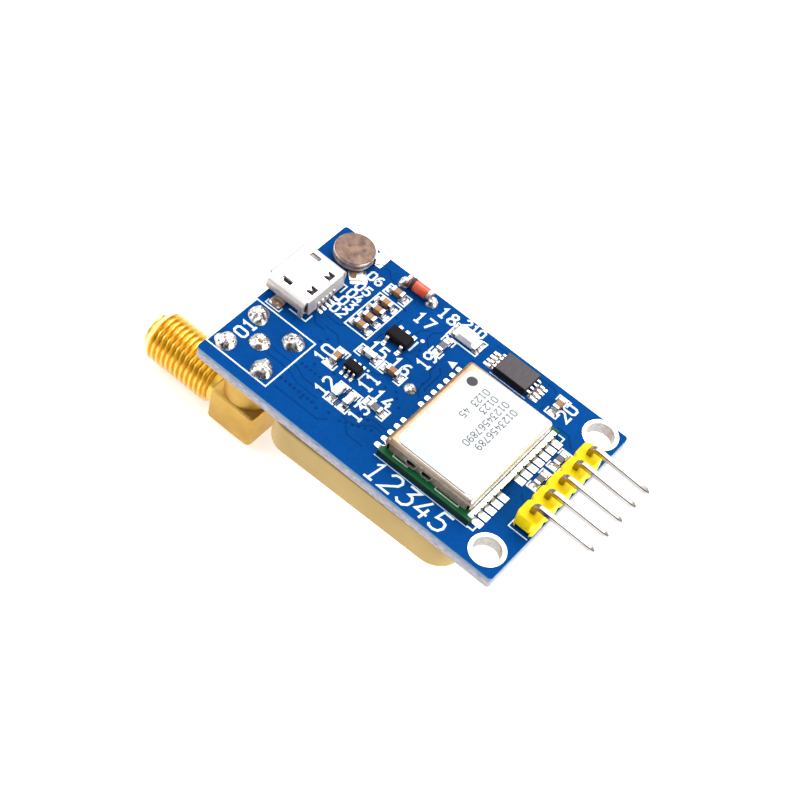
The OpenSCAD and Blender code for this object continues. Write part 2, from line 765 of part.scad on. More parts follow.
module antenna_ceramic() {
    color("#D3B268") at_antenna(ceramic_z) difference() {
        rounded_plate(antenna_side, antenna_side, antenna_h, antenna_r);
        feed_room(antenna_h);
    }
}

// Square silver coat with two opposite corners cut, which turns the wave's polarisation
module antenna_patch() {
    h = patch_side / 2;
    c = patch_cut;
    color("#D9D9DC") at_antenna(ceramic_z - silver_t) difference() {
        linear_extrude(silver_t)
            polygon([[-h, -h + c], [-h + c, -h], [h, -h], [h, h - c], [h - c, h], [-h, h]]);
        feed_room(silver_t);
    }
}

module antenna_feed() {
    head_z = ceramic_z - silver_t - feed_head_t;
    color("#CFCFD2") under(feed_place) {
        translate([0, 0, head_z]) cylinder(d = feed_head_d, h = feed_head_t);
        translate([0, 0, head_z]) cylinder(d = feed_d, h = board_t + feed_reach - head_z);
    }
}

module antenna_solder() {
    color("#D6D2CE") on_top(feed_place) difference() {
        joint(feed_hole_d, feed_hole_d + solder_rim, feed_solder_h);
        translate([0, 0, -board_t]) cylinder(d = feed_d, h = board_t + feed_reach);
    }
}

// Section of the socket's shell: upright sides, drawn in towards the board
module usb_section(inset) {
    r = usb_r - inset;
    hull() for (x = [-1, 1]) {
        for (z = [usb_waist, usb_h - usb_r])
            translate([x * (usb_top_w / 2 - usb_r), z]) circle(r, $fn = 32);
        translate([x * (usb_low_w / 2 - usb_r), usb_r]) circle(r, $fn = 32);
    }
}

module usb_ring() {
    difference() {
        usb_section(0);
        usb_section(usb_wall);
    }
}

module usb_shell() {
    color("#DADADC") on_top(usb_place) {
        difference() {
            union() {
                along_x(usb_l) usb_ring();
                for (s = [0, 1]) mirror([0, s, 0]) translate([usb_foot_x, usb_low_w / 4, 0])
                    cube([usb_foot_l, usb_foot_span / 2 - usb_low_w / 4, usb_wall]);
                for (s = [0, 1]) mirror([0, s, 0])
                    translate([usb_l - rear_leg_l, usb_top_w / 2 - usb_wall, 0])
                        cube([rear_leg_l, usb_wall, usb_h - usb_r]);
                translate([usb_l - usb_wall, -flap_w / 2, usb_h - flap_h])
                    cube([usb_wall, flap_w, flap_h - usb_wall / 2]);
            }
            for (y = [-1, 1]) {
                translate([latch_x, y * latch_spacing / 2 - latch_size[1] / 2, usb_h / 2])
                    cube([latch_size[0], latch_size[1], usb_h]);
                translate([usb_l - usb_wall - lance_size[0], y * lance_spacing / 2, usb_h / 2])
                    linear_extrude(usb_h) lance_window();
            }
        }
        translate([0, 0, usb_h - usb_wall]) usb_lip(usb_top_w - 2 * usb_r, lip_rise);
        usb_lip(usb_low_w - 2 * usb_r, -lip_rise);
    }
}

// Lip along one flat of the mouth, bent away from the opening
module usb_lip(w, rise) {
    across_y(w) polygon([[usb_wall, 0], [usb_wall, usb_wall], [0, usb_wall],
                         [-lip_l, usb_wall + rise], [-lip_l, rise], [0, 0]]);
}

// Window around a pressed lance: the lance stands in it as a pointed tongue
module lance_window() {
    l = lance_size[0];
    w = lance_size[1];
    difference() {
        translate([0, -w / 2]) square([l, w]);
        polygon([[0, -w / 4], [l * 0.7, 0], [0, w / 4]]);
    }
}

// Block in front of the rear flap, with the tongue that carries the contacts
module usb_tongue() {
    rear_x = usb_l - usb_wall;
    color("#1E1E20") on_top(usb_place) difference() {
        union() {
            translate([rear_x - tongue_block_l, 0, 0]) along_x(tongue_block_l) usb_section(usb_wall);
            translate([tongue_x, -tongue_w / 2, usb_contact_z])
                cube([rear_x - tongue_x - tongue_block_l / 2, tongue_w, tongue_t]);
        }
        usb_contact_set();
    }
}

// Contacts under the tongue, bent down behind the shell onto their pads
module usb_contact_set() {
    start = tongue_x + usb_contact_t;
    for (i = [0 : usb_contacts_n - 1])
        translate([start, (i - (usb_contacts_n - 1) / 2) * usb_pitch, 0])
            gull_lead(usb_l + usb_wall - start + usb_contact_foot, usb_contact_foot,
                      usb_contact_z, usb_contact_t, usb_contact_w);
}

module usb_contacts() {
    color("#D8C27A") on_top(usb_place) usb_contact_set();
}

// Flat lead that leaves at a height, turns down and ends in a foot on the board
module gull_lead(reach, foot, rise, t, w) {
    knee = reach - foot;
    across_y(w) polygon([[0, rise], [knee, rise], [knee, 0], [reach, 0], [reach, t],
                         [knee + t, t], [knee + t, rise + t], [0, rise + t]]);
}

// Stepped disc of the cell's can, rounded at its top edge
module cell_can() {
    r = cell_d / 2;
    e = cell_edge_r;
    color("#B79C8A") on_top(cell_place) translate([0, 0, cell_can_z]) rotate_extrude() {
        square([r, cell_can_h - e]);
        square([r - e, cell_can_h]);
        translate([r - e, cell_can_h - e]) intersection() {
            circle(e);
            square(e);
        }
    }
}

module cell_gasket() {
    color("#3A3A3C") on_top(cell_place) translate([0, 0, cell_lid_z]) difference() {
        cylinder(d = cell_lid_d + 2 * gasket_w, h = cell_lid_h);
        translate([0, 0, -cell_lid_h]) cylinder(d = cell_lid_d, h = 3 * cell_lid_h);
    }
}

module cell_lid() {
    color("#C8C8CA") on_top(cell_place) translate([0, 0, cell_lid_z])
        cylinder(d = cell_lid_d, h = cell_lid_h);
}

// Tab that is welded under the lid and runs out to its pad
module cell_lid_tab() {
    color("#CDB38C") on_top(cell_place) rotate(tab_turns[0])
        translate([-cell_lid_d / 4, -tab_w / 2, 0]) cube([tab_reach + cell_lid_d / 4, tab_w, tab_t]);
}

// Tab that is welded to the can's side and turned out onto its pad
module cell_can_tab() {
    r = cell_d / 2;
    color("#DEDEE0") on_top(cell_place) rotate(tab_turns[1]) {
        intersection() {
            difference() {
                cylinder(r = r + tab_t, h = side_tab_h);
                translate([0, 0, -side_tab_h]) cylinder(r = r, h = 3 * side_tab_h);
            }
            translate([0, -tab_w / 2, 0]) cube([cell_d, tab_w, side_tab_h]);
        }
        difference() {
            translate([0, -tab_w / 2, 0]) cube([tab_reach, tab_w, tab_t]);
            translate([0, 0, -tab_t]) cylinder(r = r, h = 3 * tab_t);
        }
    }
}

// Row of octagonal segments moulded as one strip
module header_housing() {
    h = pin_pitch / 2;
    w = housing_w / 2;
    c = housing_cut;
    color("#F5DC10") on_top(header_place) difference() {
        for (y = pin_steps) translate([0, y, 0]) linear_extrude(housing_h)
            polygon([[-w + c, -h], [w - c, -h], [w, -h + c], [w, h - c],
                     [w - c, h], [-w + c, h], [-w, h - c], [-w, -h + c]]);
        for (y = pin_steps) translate([0, y, -housing_h])
            centred_block([pin_w, pin_w, 3 * housing_h]);
        translate([-housing_rib_w, 0, -housing_gap])
            centred_block([housing_w, 2 * pins_n * pin_pitch, 2 * housing_gap]);
    }
}

// Side view of a pin: a straight leg, a quarter bend and a run with a chamfered tip
module pin_outline() {
    foot_z = -board_t - pin_tail;
    bend_x = pin_w / 2 + pin_bend_r;
    bend_z = pin_run_z - bend_x;
    tip_x = header_gap + pin_run_l;
    c = pin_chamfer;
    translate([-pin_w / 2, foot_z]) square([pin_w, bend_z - foot_z]);
    translate([bend_x, bend_z]) intersection() {
        difference() {
            circle(pin_bend_r + pin_w);
            circle(pin_bend_r);
        }
        translate([-2 * bend_x - pin_w, 0]) square(2 * bend_x + pin_w);
    }
    translate([0, pin_run_z - pin_w / 2])
        polygon([[bend_x, 0], [tip_x - c, 0], [tip_x, c], [tip_x, pin_w - c],
                 [tip_x - c, pin_w], [bend_x, pin_w]]);
}

module header_pins() {
    color("#C9B98C") on_top(header_place) for (y = pin_steps)
        translate([0, y, 0]) across_y(pin_w) pin_outline();
}

// Joints on the underside, around the pins' tails
module header_solder() {
    color("#D6D2CE") under(header_place) for (y = pin_steps) translate([0, y, 0])
        difference() {
            rotate([180, 0, 0]) joint(pin_hole_d, pin_hole_d + 2 * solder_rim, solder_h);
            translate([0, 0, -pin_tail]) centred_block([pin_w, pin_w, pin_tail + board_t]);
        }
}

// Stands its children at each place of a list, with the turn given there
module at_each(spots) {
    for (s = spots) on_top([s[0], s[1]]) rotate(s[2]) children();
}

// Core of a chip part, which its metal ends wrap
module chip_core(size) {
    translate([0, 0, end_t])
        centred_block([size[0] - 2 * end_t, size[1] - 2 * end_t, size[2] - 2 * end_t]);
}

// Pair of metal ends, each a five-sided cup over the core
module chip_ends(size) {
    for (x = [-1, 1]) difference() {
        translate([x * (size[0] - end_l) / 2, 0, 0]) centred_block([end_l, size[1], size[2]]);
        chip_core(size);
    }
}

module capacitor_bodies() {
    color("#B07A4A") at_each(capacitors) chip_core(capacitor_size);
}

module capacitor_ends() {
    color("#DCDAD6") at_each(capacitors) chip_ends(capacitor_size);
}

module resistor_bodies() {
    color("#E8E4DC") at_each(resistors) chip_core(resistor_size);
}

module resistor_glazes() {
    color("#2A2830") at_each(resistors) translate([0, 0, resistor_size[2] - end_t])
        centred_block([resistor_size[0] - 2 * end_l, resistor_size[1] - 2 * end_t, glaze_t]);
}

module resistor_ends() {
    color("#DCDAD6") at_each(resistors) chip_ends(resistor_size);
}

module inductor_bodies() {
    color("#EDEBE6") at_each(inductors) chip_core(inductor_size);
}

module inductor_ends() {
    color("#DCDAD6") at_each(inductors) chip_ends(inductor_size);
}

// Lies on the board along X, at the height of its metal ends
module at_diode() {
    on_top([diode_spot[0], board_w - diode_spot[1]])
        translate([0, 0, diode_cap_d / 2]) rotate([0, 90, 0]) children();
}

module diode_glass() {
    color("#E8502D") at_diode() cylinder(d = diode_d, h = diode_glass_l, center = true);
}

module diode_ends() {
    color("#DCDAD6") at_diode() for (x = [-1, 1])
        translate([0, 0, x * (diode_glass_l + diode_cap_l) / 2])
            cylinder(d = diode_cap_d, h = diode_cap_l, center = true);
}

// Moulded body with draft above and below its parting line, lifted off the board
module moulded(size) {
    translate([0, 0, standoff]) intersection() {
        across_y(size[1]) drafted_side(size[0], size[2]);
        translate([-size[0] / 2, 0, 0]) along_x(size[0]) drafted_side(size[1], size[2]);
    }
}

// Side view of a moulded body, widest at the parting line at half its height
module drafted_side(l, h) {
    polygon([[draft - l / 2, 0], [l / 2 - draft, 0], [l / 2, h / 2],
             [l / 2 - draft, h], [draft - l / 2, h], [-l / 2, h / 2]]);
}

// Rows of leads on both long sides: steps along X, roots inside a body of a given width
module lead_rows(near_steps, far_steps, body, span, w) {
    reach = (span - body[1]) / 2 + lead_root;
    foot = (reach - lead_root) * lead_foot_share;
    rise = standoff + (body[2] - lead_t) / 2;
    for (x = far_steps) translate([x, body[1] / 2 - lead_root, 0]) rotate(90)
        gull_lead(reach, foot, rise, lead_t, w);
    for (x = near_steps) translate([x, lead_root - body[1] / 2, 0]) rotate(-90)
        gull_lead(reach, foot, rise, lead_t, w);
}

// Places evenly spaced about zero
function steps(n, pitch) = [for (i = [0 : n - 1]) (i - (n - 1) / 2) * pitch];

module at_regulator() {
    on_top([regulator_spot[0], board_w - regulator_spot[1]]) children();
}

module regulator_lead_set() {
    lead_rows(steps(2, 2 * regulator_pitch), steps(3, regulator_pitch), regulator_size,
              regulator_span, regulator_lead_w);
}

module regulator_body() {
    color("#2B2826") at_regulator() difference() {
        moulded(regulator_size);
        regulator_lead_set();
    }
}

module regulator_leads() {
    color("#D8D8DA") at_regulator() regulator_lead_set();
}

module amplifier_lead_set() {
    lead_rows(steps(3, amplifier_pitch), steps(3, amplifier_pitch), amplifier_size,
              amplifier_span, amplifier_lead_w);
}

module amplifier_body() {
    color("#2B2826") on_top(amplifier_spot) difference() {
        moulded(amplifier_size);
        amplifier_lead_set();
    }
}

module amplifier_leads() {
    color("#D8D8DA") on_top(amplifier_spot) amplifier_lead_set();
}

module at_memory() {
    on_top([receiver_x + memory_spot[0], board_w - memory_spot[1]]) rotate(90) children();
}

module memory_lead_set() {
    lead_rows(steps(4, memory_pitch), steps(4, memory_pitch), memory_size, memory_span,
              memory_lead_w);
}

module memory_body() {
    color("#57504E") at_memory() difference() {
        moulded(memory_size);
        memory_lead_set();
    }
}

module memory_leads() {
    color("#D8D8DA") at_memory() memory_lead_set();
}

module at_lamp() {
    on_top([lamp_spot[0], board_w - lamp_spot[1]]) children();
}

module lamp_base() {
    color("#EFEDE8") at_lamp() chip_core(lamp_size);
}

// Moulded lens with drafted ends, on the base between its metal ends
module lamp_lens() {
    width = lamp_size[1] - 2 * end_t;
    color("#F6F4EC") at_lamp() translate([0, 0, lamp_size[2] - end_t]) across_y(width)
        polygon([[-lens_l / 2, 0], [lens_l / 2, 0], [lens_l / 2 - draft, lens_h],
                 [draft - lens_l / 2, lens_h]]);
}

module lamp_ends() {
    color("#DCDAD6") at_lamp() chip_ends(lamp_size);
}

circuit_board();
hole_plating();
receiver_solder();
receiver_board();
receiver_shield();
receiver_label();
receiver_chip();
receiver_oscillator();
receiver_filter();
receiver_passives();
jack_body();
jack_insulator();
jack_contact();
jack_solder();
antenna_tape();
antenna_ground();
antenna_ceramic();
antenna_patch();
antenna_feed();
antenna_solder();
usb_shell();
usb_tongue();
usb_contacts();
cell_can();
cell_gasket();
cell_lid();
cell_lid_tab();
cell_can_tab();
header_housing();
header_pins();
header_solder();
capacitor_bodies();
capacitor_ends();
resistor_bodies();
resistor_glazes();
resistor_ends();
inductor_bodies();
inductor_ends();
diode_glass();
diode_ends();
regulator_body();
regulator_leads();
amplifier_body();
amplifier_leads();
memory_body();
memory_leads();
lamp_base();
lamp_lens();
lamp_ends();
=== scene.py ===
import math

import bmesh
import bpy
from mathutils import Matrix, Vector, noise


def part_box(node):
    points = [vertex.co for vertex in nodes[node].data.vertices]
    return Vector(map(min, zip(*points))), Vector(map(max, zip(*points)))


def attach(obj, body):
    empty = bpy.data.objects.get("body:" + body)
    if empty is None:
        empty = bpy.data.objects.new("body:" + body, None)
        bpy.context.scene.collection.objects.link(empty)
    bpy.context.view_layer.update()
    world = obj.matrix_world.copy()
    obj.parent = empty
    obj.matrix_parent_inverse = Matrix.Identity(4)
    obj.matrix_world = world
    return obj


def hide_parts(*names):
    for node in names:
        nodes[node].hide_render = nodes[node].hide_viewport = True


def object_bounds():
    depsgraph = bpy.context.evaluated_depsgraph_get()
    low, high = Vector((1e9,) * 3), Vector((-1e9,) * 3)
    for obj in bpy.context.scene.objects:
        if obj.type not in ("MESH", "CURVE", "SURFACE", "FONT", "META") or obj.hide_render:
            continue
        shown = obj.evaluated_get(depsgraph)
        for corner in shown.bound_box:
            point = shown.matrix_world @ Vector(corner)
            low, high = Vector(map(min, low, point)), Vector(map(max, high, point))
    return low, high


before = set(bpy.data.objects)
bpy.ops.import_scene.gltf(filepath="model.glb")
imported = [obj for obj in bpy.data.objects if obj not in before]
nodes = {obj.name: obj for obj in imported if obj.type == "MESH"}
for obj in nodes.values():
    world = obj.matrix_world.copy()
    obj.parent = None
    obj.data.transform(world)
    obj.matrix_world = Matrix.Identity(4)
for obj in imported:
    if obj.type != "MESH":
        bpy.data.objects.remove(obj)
cad_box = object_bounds()
MM = 0.001

# Camera: a long lens that looks down on the header end and the near long edge.
# Its place, turn and focal length come from a fit to the board's corners, pads and pins.
camera = bpy.data.objects.new("camera", bpy.data.cameras.new("camera"))
camera.data.lens = 84.694
camera.data.sensor_width = 36.0
camera.data.clip_start = 0.01
camera.location = (0.033395, -0.111086, 0.160191)
camera.rotation_euler = [math.radians(a) for a in (35.9586, -10.3050, 39.1386)]
bpy.context.collection.objects.link(camera)
bpy.context.scene.camera = camera
bpy.context.scene.view_settings.view_transform = "Standard"


# Studio: a white floor at the module's lowest point, lit through from below like a light table.
# Soft white light comes from all round; one dim patch gives bare metal something dark to mirror.
def linear(colour):
    """An sRGB hex colour as linear RGBA."""
    parts = [int(colour[i:i + 2], 16) / 255 for i in (1, 3, 5)]
    return [p / 12.92 if p <= 0.04045 else ((p + 0.055) / 1.055) ** 2.4 for p in parts] + [1.0]


def plug(node, inputs):
    """Fills a node's sockets with values, hex colours, other nodes or sockets of theirs."""
    for key, value in inputs.items():
        if isinstance(value, bpy.types.Node):
            value = next(out for out in value.outputs if out.enabled)
        if isinstance(value, bpy.types.NodeSocket):
            node.id_data.links.new(value, node.inputs[key])
        else:
            node.inputs[key].default_value = linear(value) if isinstance(value, str) else value


def add(tree, kind, inputs=None, **settings):
    """Adds a node with its settings and links. A colour Mix has its share at 0, its colours at 6 and 7."""
    node = tree.nodes.new("ShaderNode" + kind)
    for key, value in settings.items():
        setattr(node, key, value)
    plug(node, inputs or {})
    return node


def start_material(name, sockets):
    """A new material: returns it, its tree, its shader and coordinates in metres."""
    made = bpy.data.materials.new(name)
    made.use_nodes = True
    tree = made.node_tree
    shader = tree.nodes["Principled BSDF"]
    plug(shader, sockets)
    return made, tree, shader, add(tree, "TexCoord").outputs["Object"]


def per_mm(*sizes):
    """Texture scale for a feature of that many millimetres, or one scale for each axis."""
    scales = [1 / (size * MM) for size in sizes]
    return scales if len(scales) > 1 else scales[0]


# Opal acrylic sheet: matt white with a faint texture of 1.5 mm, glowing enough to thin the shadows.
opal, tree, shader, coords = start_material(
    "matt_opal_acrylic", {"Base Color": "#F8F8F7", "Roughness": 0.9,
                          "Emission Color": "#FFFFFF", "Emission Strength": 0.5})
grain = add(tree, "TexNoise", {"Vector": coords, "Scale": per_mm(1.5)})
bump = add(tree, "Bump", {"Height": grain, "Strength": 0.1, "Distance": 0.00005})
plug(shader, {"Normal": bump})

FLOOR_HALF = 2.0
floor_z = cad_box[0][2]
floor_mesh = bpy.data.meshes.new("floor")
floor_mesh.from_pydata(
    [(x * FLOOR_HALF, y * FLOOR_HALF, floor_z) for x, y in ((-1, -1), (1, -1), (1, 1), (-1, 1))],
    [], [(0, 1, 2, 3)])
floor_mesh.materials.append(opal)
floor = bpy.data.objects.new("floor", floor_mesh)
bpy.context.collection.objects.link(floor)

world = bpy.data.worlds.new("soft_studio")
world.use_nodes = True
bpy.context.scene.world = world
tree = world.node_tree
DIM_SIDE = (0.45, -0.80, 0.40)
AIM = Vector((-0.02, 0, 0))
look = add(tree, "TexCoord").outputs["Generated"]
towards = add(tree, "VectorMath", {0: look, 1: DIM_SIDE}, operation="DOT_PRODUCT")
dim = add(tree, "MapRange", {"Value": towards, "From Min": 0.5, "From Max": 0.95,
                             "To Min": 0.0, "To Max": 1.0}, interpolation_type="SMOOTHSTEP")
sky = add(tree, "Mix", {0: dim, 6: "#FFFFFF", 7: "#46474A"}, data_type="RGBA")
plug(tree.nodes["Background"], {"Color": sky, "Strength": 0.75})

for name, spot, side, power in (("far_softbox", (-0.08, 0.28, 0.46), 0.45, 2.0),
                                ("left_softbox", (-0.50, -0.25, 0.35), 0.40, 1.6),
                                ("right_softbox", (0.45, 0.06, 0.12), 0.35, 2.0)):
    lamp = bpy.data.objects.new(name, bpy.data.lights.new(name, "AREA"))
    lamp.data.energy = power
    lamp.data.size = side
    lamp.location = spot
    lamp.rotation_euler = (AIM - lamp.location).to_track_quat("-Z", "Y").to_euler()
    bpy.context.collection.objects.link(lamp)


# Circuit board: glass-fibre laminate 1.6 mm thick under blue solder mask, milled to size.
# The mask is smooth and shows the copper and the weave under it; the milled edge is bare fibre.
board_low, board_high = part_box("circuit_board")


def at(u, v, z=0.0, turn=0.0):
    """Matrix from a piece's own millimetres to the frame: u from the socket end, v from the near
    edge and z above the board's top in mm, turned about Z by degrees."""
    spot = Vector((board_low[0] + u * MM, board_low[1] + v * MM, board_high[2] + z * MM))
    return Matrix.Translation(spot) @ Matrix.Rotation(math.radians(turn), 4, "Z") @ Matrix.Scale(MM, 4)


def dress(material, *names):
    """Gives CAD nodes a material."""
    for name in names:
        for slot in nodes[name].material_slots:
            slot.material = material


blue_mask, tree, shader, coords = start_material(
    "blue_solder_mask_on_laminate", {"Specular IOR Level": 0.015})
mottle = add(tree, "TexNoise", {"Vector": coords, "Scale": per_mm(3.0), "Detail": 4.0})
speck = add(tree, "TexNoise", {"Vector": coords, "Scale": per_mm(0.35), "Detail": 2.0})
deep = add(tree, "Mix", {0: mottle, 6: "#014792", 7: "#0254A0"}, data_type="RGBA")
grainy = add(tree, "Mix", {0: speck, 6: "#014085", 7: deep}, data_type="RGBA")
long_fibres = add(tree, "Mapping", {"Vector": coords, "Scale": per_mm(0.7, 0.7, 0.16)})
fibre = add(tree, "TexNoise", {"Vector": long_fibres, "Scale": 1.0, "Detail": 5.0, "Roughness": 0.7})
fibre_step = add(tree, "MapRange", {"Value": fibre, "From Min": 0.35, "From Max": 0.65})
bare_edge = add(tree, "Mix", {0: fibre_step, 6: "#8E8A94", 7: "#D0CBD3"}, data_type="RGBA")
# The cutter dragged some of the mask's blue down over the upper half of the edge.
place = add(tree, "SeparateXYZ", {0: coords})
dragged = add(tree, "MapRange", {"Value": place.outputs[2], "From Min": 0.0007, "From Max": 0.0016,
                                 "To Max": 0.9})
edge_colour = add(tree, "Mix", {0: dragged, 6: bare_edge, 7: "#4F86AC"}, data_type="RGBA")
facing = add(tree, "SeparateXYZ", {0: add(tree, "NewGeometry").outputs["Normal"]})
upright = add(tree, "Math", {0: facing.outputs[2]}, operation="ABSOLUTE")
on_face = add(tree, "MapRange", {"Value": upright, "From Min": 0.4, "From Max": 0.6})
skin = add(tree, "Mix", {0: on_face, 6: edge_colour, 7: grainy}, data_type="RGBA")
gloss = add(tree, "MapRange", {"Value": on_face, "To Min": 0.85, "To Max": 0.42})
# Glass weave of 0.45 mm, which the mask lies over.
weave_x = add(tree, "TexWave", {"Vector": coords, "Scale": per_mm(0.45) * math.tau / 20},
              bands_direction="X")
weave_y = add(tree, "TexWave", {"Vector": coords, "Scale": per_mm(0.45) * math.tau / 20},
              bands_direction="Y")
weave = add(tree, "Math", {0: weave_x.outputs[1], 1: weave_y.outputs[1]}, operation="ADD")
relief = add(tree, "Mix", {0: on_face, 2: fibre, 3: weave})
bump = add(tree, "Bump", {"Height": relief, "Strength": 0.12, "Distance": 0.00004})
plug(shader, {"Base Color": skin, "Roughness": gloss, "Normal": bump})
dress(blue_mask, "circuit_board")


# Plated mounting holes: copper sleeves with a ring on each face, levelled in hot tin.
# Bright tin: smooth, softly rippled, nearly white on top, with a painted grey shade on upright faces.
bright_tin, tree, shader, coords = start_material("levelled_bright_tin", {"Metallic": 0.9})
ripple = add(tree, "TexNoise", {"Vector": coords, "Scale": per_mm(0.4), "Detail": 3.0})
bright = add(tree, "Mix", {0: ripple, 6: "#DCDCDB", 7: "#FBFBFA"}, data_type="RGBA")
# Painted shade: this greyer copy of the tin's colour goes on upright faces.
painted_flank_shade = add(tree, "Mix", {0: ripple, 6: "#8E8984", 7: "#D2CECA"}, data_type="RGBA")
facing = add(tree, "SeparateXYZ", {0: add(tree, "NewGeometry").outputs["Normal"]})
on_top = add(tree, "MapRange", {"Value": facing.outputs[2], "From Min": 0.1, "From Max": 0.5})
tone = add(tree, "Mix", {0: on_top, 6: painted_flank_shade, 7: bright}, data_type="RGBA")
dull = add(tree, "MapRange", {"Value": ripple, "To Min": 0.3, "To Max": 0.5})
plug(shader, {"Base Color": tone, "Roughness": dull})
dress(bright_tin, "hole_plating")


# Copper pattern: the pour shows through the mask, parted by narrow etched gaps along the tracks.
# Rows of tented vias stitch the pour along the aerial line. All of it is etched and under mask.
def circle(r, z, count):
    """Ring of points round Z at a height."""
    return [(r * math.cos(math.tau * i / count), r * math.sin(math.tau * i / count), z) for i in range(count)]


def loft(bm, matrix, rings, closed=False):
    """Skins a row of like point rings. An open row is capped at both ends, a closed one joins up."""
    rows = [[bm.verts.new(matrix @ Vector(p)) for p in ring] for ring in rings]
    count = len(rows[0])
    pairs = list(zip(rows, rows[1:]))
    if closed:
        pairs.append((rows[-1], rows[0]))
    for low, high in pairs:
        for i in range(count):
            j = (i + 1) % count
            bm.faces.new((low[i], low[j], high[j], high[i]))
    if not closed:
        bm.faces.new(rows[0][::-1])
        bm.faces.new(rows[-1])


def stroke(bm, matrix, points, width, height, closed=False):
    """A flat line of even width along points on the board, with mitred corners."""
    pts = [Vector(p) for p in points]
    rings = []
    for i, p in enumerate(pts):
        before = p - pts[i - 1] if closed or i else pts[1] - p
        after = pts[(i + 1) % len(pts)] - p if closed or i < len(pts) - 1 else before
        before, after = before.normalized(), after.normalized()
        along = (before + after).normalized() if (before + after).length > 0.2 else after
        reach = width / 2 / max(0.45, along.dot(after))
        side = Vector((-along.y, along.x)) * reach
        left, right = p + side, p - side
        rings.append([(left.x, left.y, 0), (left.x, left.y, height),
                      (right.x, right.y, height), (right.x, right.y, 0)])
    loft(bm, matrix, rings, closed)


def turned(bm, matrix, profile, count=32):
    """A solid of revolution from radius and height pairs, bottom to top."""
    loft(bm, matrix, [circle(r, z, count) for r, z in profile])


SHARP = math.radians(38)


def piece(name, bm, material, slot, *replaced):
    """Makes an object of the shared body from a mesh, smooth where its faces meet gently."""
    bmesh.ops.recalc_face_normals(bm, faces=bm.faces)
    for face in bm.faces:
        face.smooth = True
    for edge in bm.edges:
        edge.smooth = len(edge.link_faces) == 2 and edge.calc_face_angle(0.0) < SHARP
    mesh = bpy.data.meshes.new(name)
    bm.to_mesh(mesh)
    bm.free()
    mesh.materials.append(material)
    obj = bpy.data.objects.new(name, mesh)
    bpy.context.collection.objects.link(obj)
    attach(obj, "root")
    if replaced:
        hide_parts(*replaced)
    return obj


def mottled(name, sockets, size, low, high, detail=2.0, relief=None):
    """A material whose colour drifts between two tones in patches of size mm. relief raises the
    patches by a bump's strength and distance."""
    made, tree, shader, coords = start_material(name, sockets)
    patches = add(tree, "TexNoise", {"Vector": coords, "Scale": per_mm(size), "Detail": detail})
    plug(shader, {"Base Color": add(tree, "Mix", {0: patches, 6: low, 7: high}, data_type="RGBA")})
    if relief:
        strength, distance = relief
        bump = add(tree, "Bump", {"Height": patches, "Strength": strength, "Distance": distance})
        plug(shader, {"Normal": bump})
    return made


# Mask over bare laminate: the same gloss, one shade darker than over copper.
gap_mask = mottled(
    "blue_solder_mask_over_gaps", {"Roughness": 0.42, "Specular IOR Level": 0.015},
    0.8, "#013068", "#014084")

GAP_W = 0.16
GAP_H = 0.006
ETCHED_GAPS = (
    [(5.6, 4.85), (8.6, 4.85), (10.4, 4.2), (13.4, 4.2)],
    [(5.6, 5.8), (9.0, 5.8), (10.6, 5.2), (13.3, 5.2)],
    [(16.6, 4.4), (18.2, 4.4), (19.6, 5.8), (20.9, 5.8)],
    [(16.9, 5.2), (17.9, 5.2), (19.1, 6.4), (20.9, 6.4)],
    [(20.8, 12.2), (20.0, 13.0), (20.0, 15.2), (19.4, 15.8), (19.4, 17.2)],
    [(20.8, 13.3), (20.5, 13.6), (20.5, 16.4), (19.9, 17.0)],
    [(18.3, 18.3), (17.2, 18.3), (16.4, 19.1), (16.4, 20.2), (17.2, 21.0)],
    [(12.6, 16.0), (12.6, 13.6)], [(12.2, 10.8), (12.2, 11.8), (12.9, 12.5)],
    [(14.6, 11.2), (15.6, 11.2), (16.4, 12.0)], [(17.7, 12.0), (18.6, 12.0)],
    [(15.6, 15.3), (17.2, 15.3), (17.8, 14.7)], [(6.8, 13.4), (8.6, 13.4), (9.2, 14.0)],
    [(7.6, 12.2), (9.4, 12.2), (10.2, 11.4)], [(5.9, 12.4), (6.6, 11.7), (8.0, 11.7)],
    [(33.6, 20.2), (35.2, 20.2), (36.4, 19.0)],
    [(30.9, 21.4), (31.0, 20.4), (31.6, 19.9), (33.0, 19.9)],
    [(22.4, 24.1), (30.4, 24.1), (31.0, 23.6)], [(9.2, 22.6), (8.4, 22.6), (7.6, 23.4), (7.0, 23.4)],
    [(36.9, 15.0), (37.3, 15.0)], [(36.0, 10.6), (36.6, 10.0), (37.2, 10.0)],
    [(20.6, 3.0), (18.4, 3.0), (17.6, 3.8)], [(9.0, 2.2), (15.0, 2.2), (15.8, 3.0)],
    [(12.9, 19.0), (12.9, 18.2)], [(15.2, 18.6), (15.2, 19.4), (16.0, 20.2)],
)
bm = bmesh.new()
for path in ETCHED_GAPS:
    stroke(bm, at(0, 0), path, GAP_W, GAP_H)
# A darker strip of mask under the header is painted shade for the gap beneath its housing.
stroke(bm, at(0, 0), [(38.7, 6.8), (38.7, 19.3)], 2.3, GAP_H)
piece("etched_gaps_and_header_shade", bm, gap_mask, "blue_board")

VIA_R = 0.2
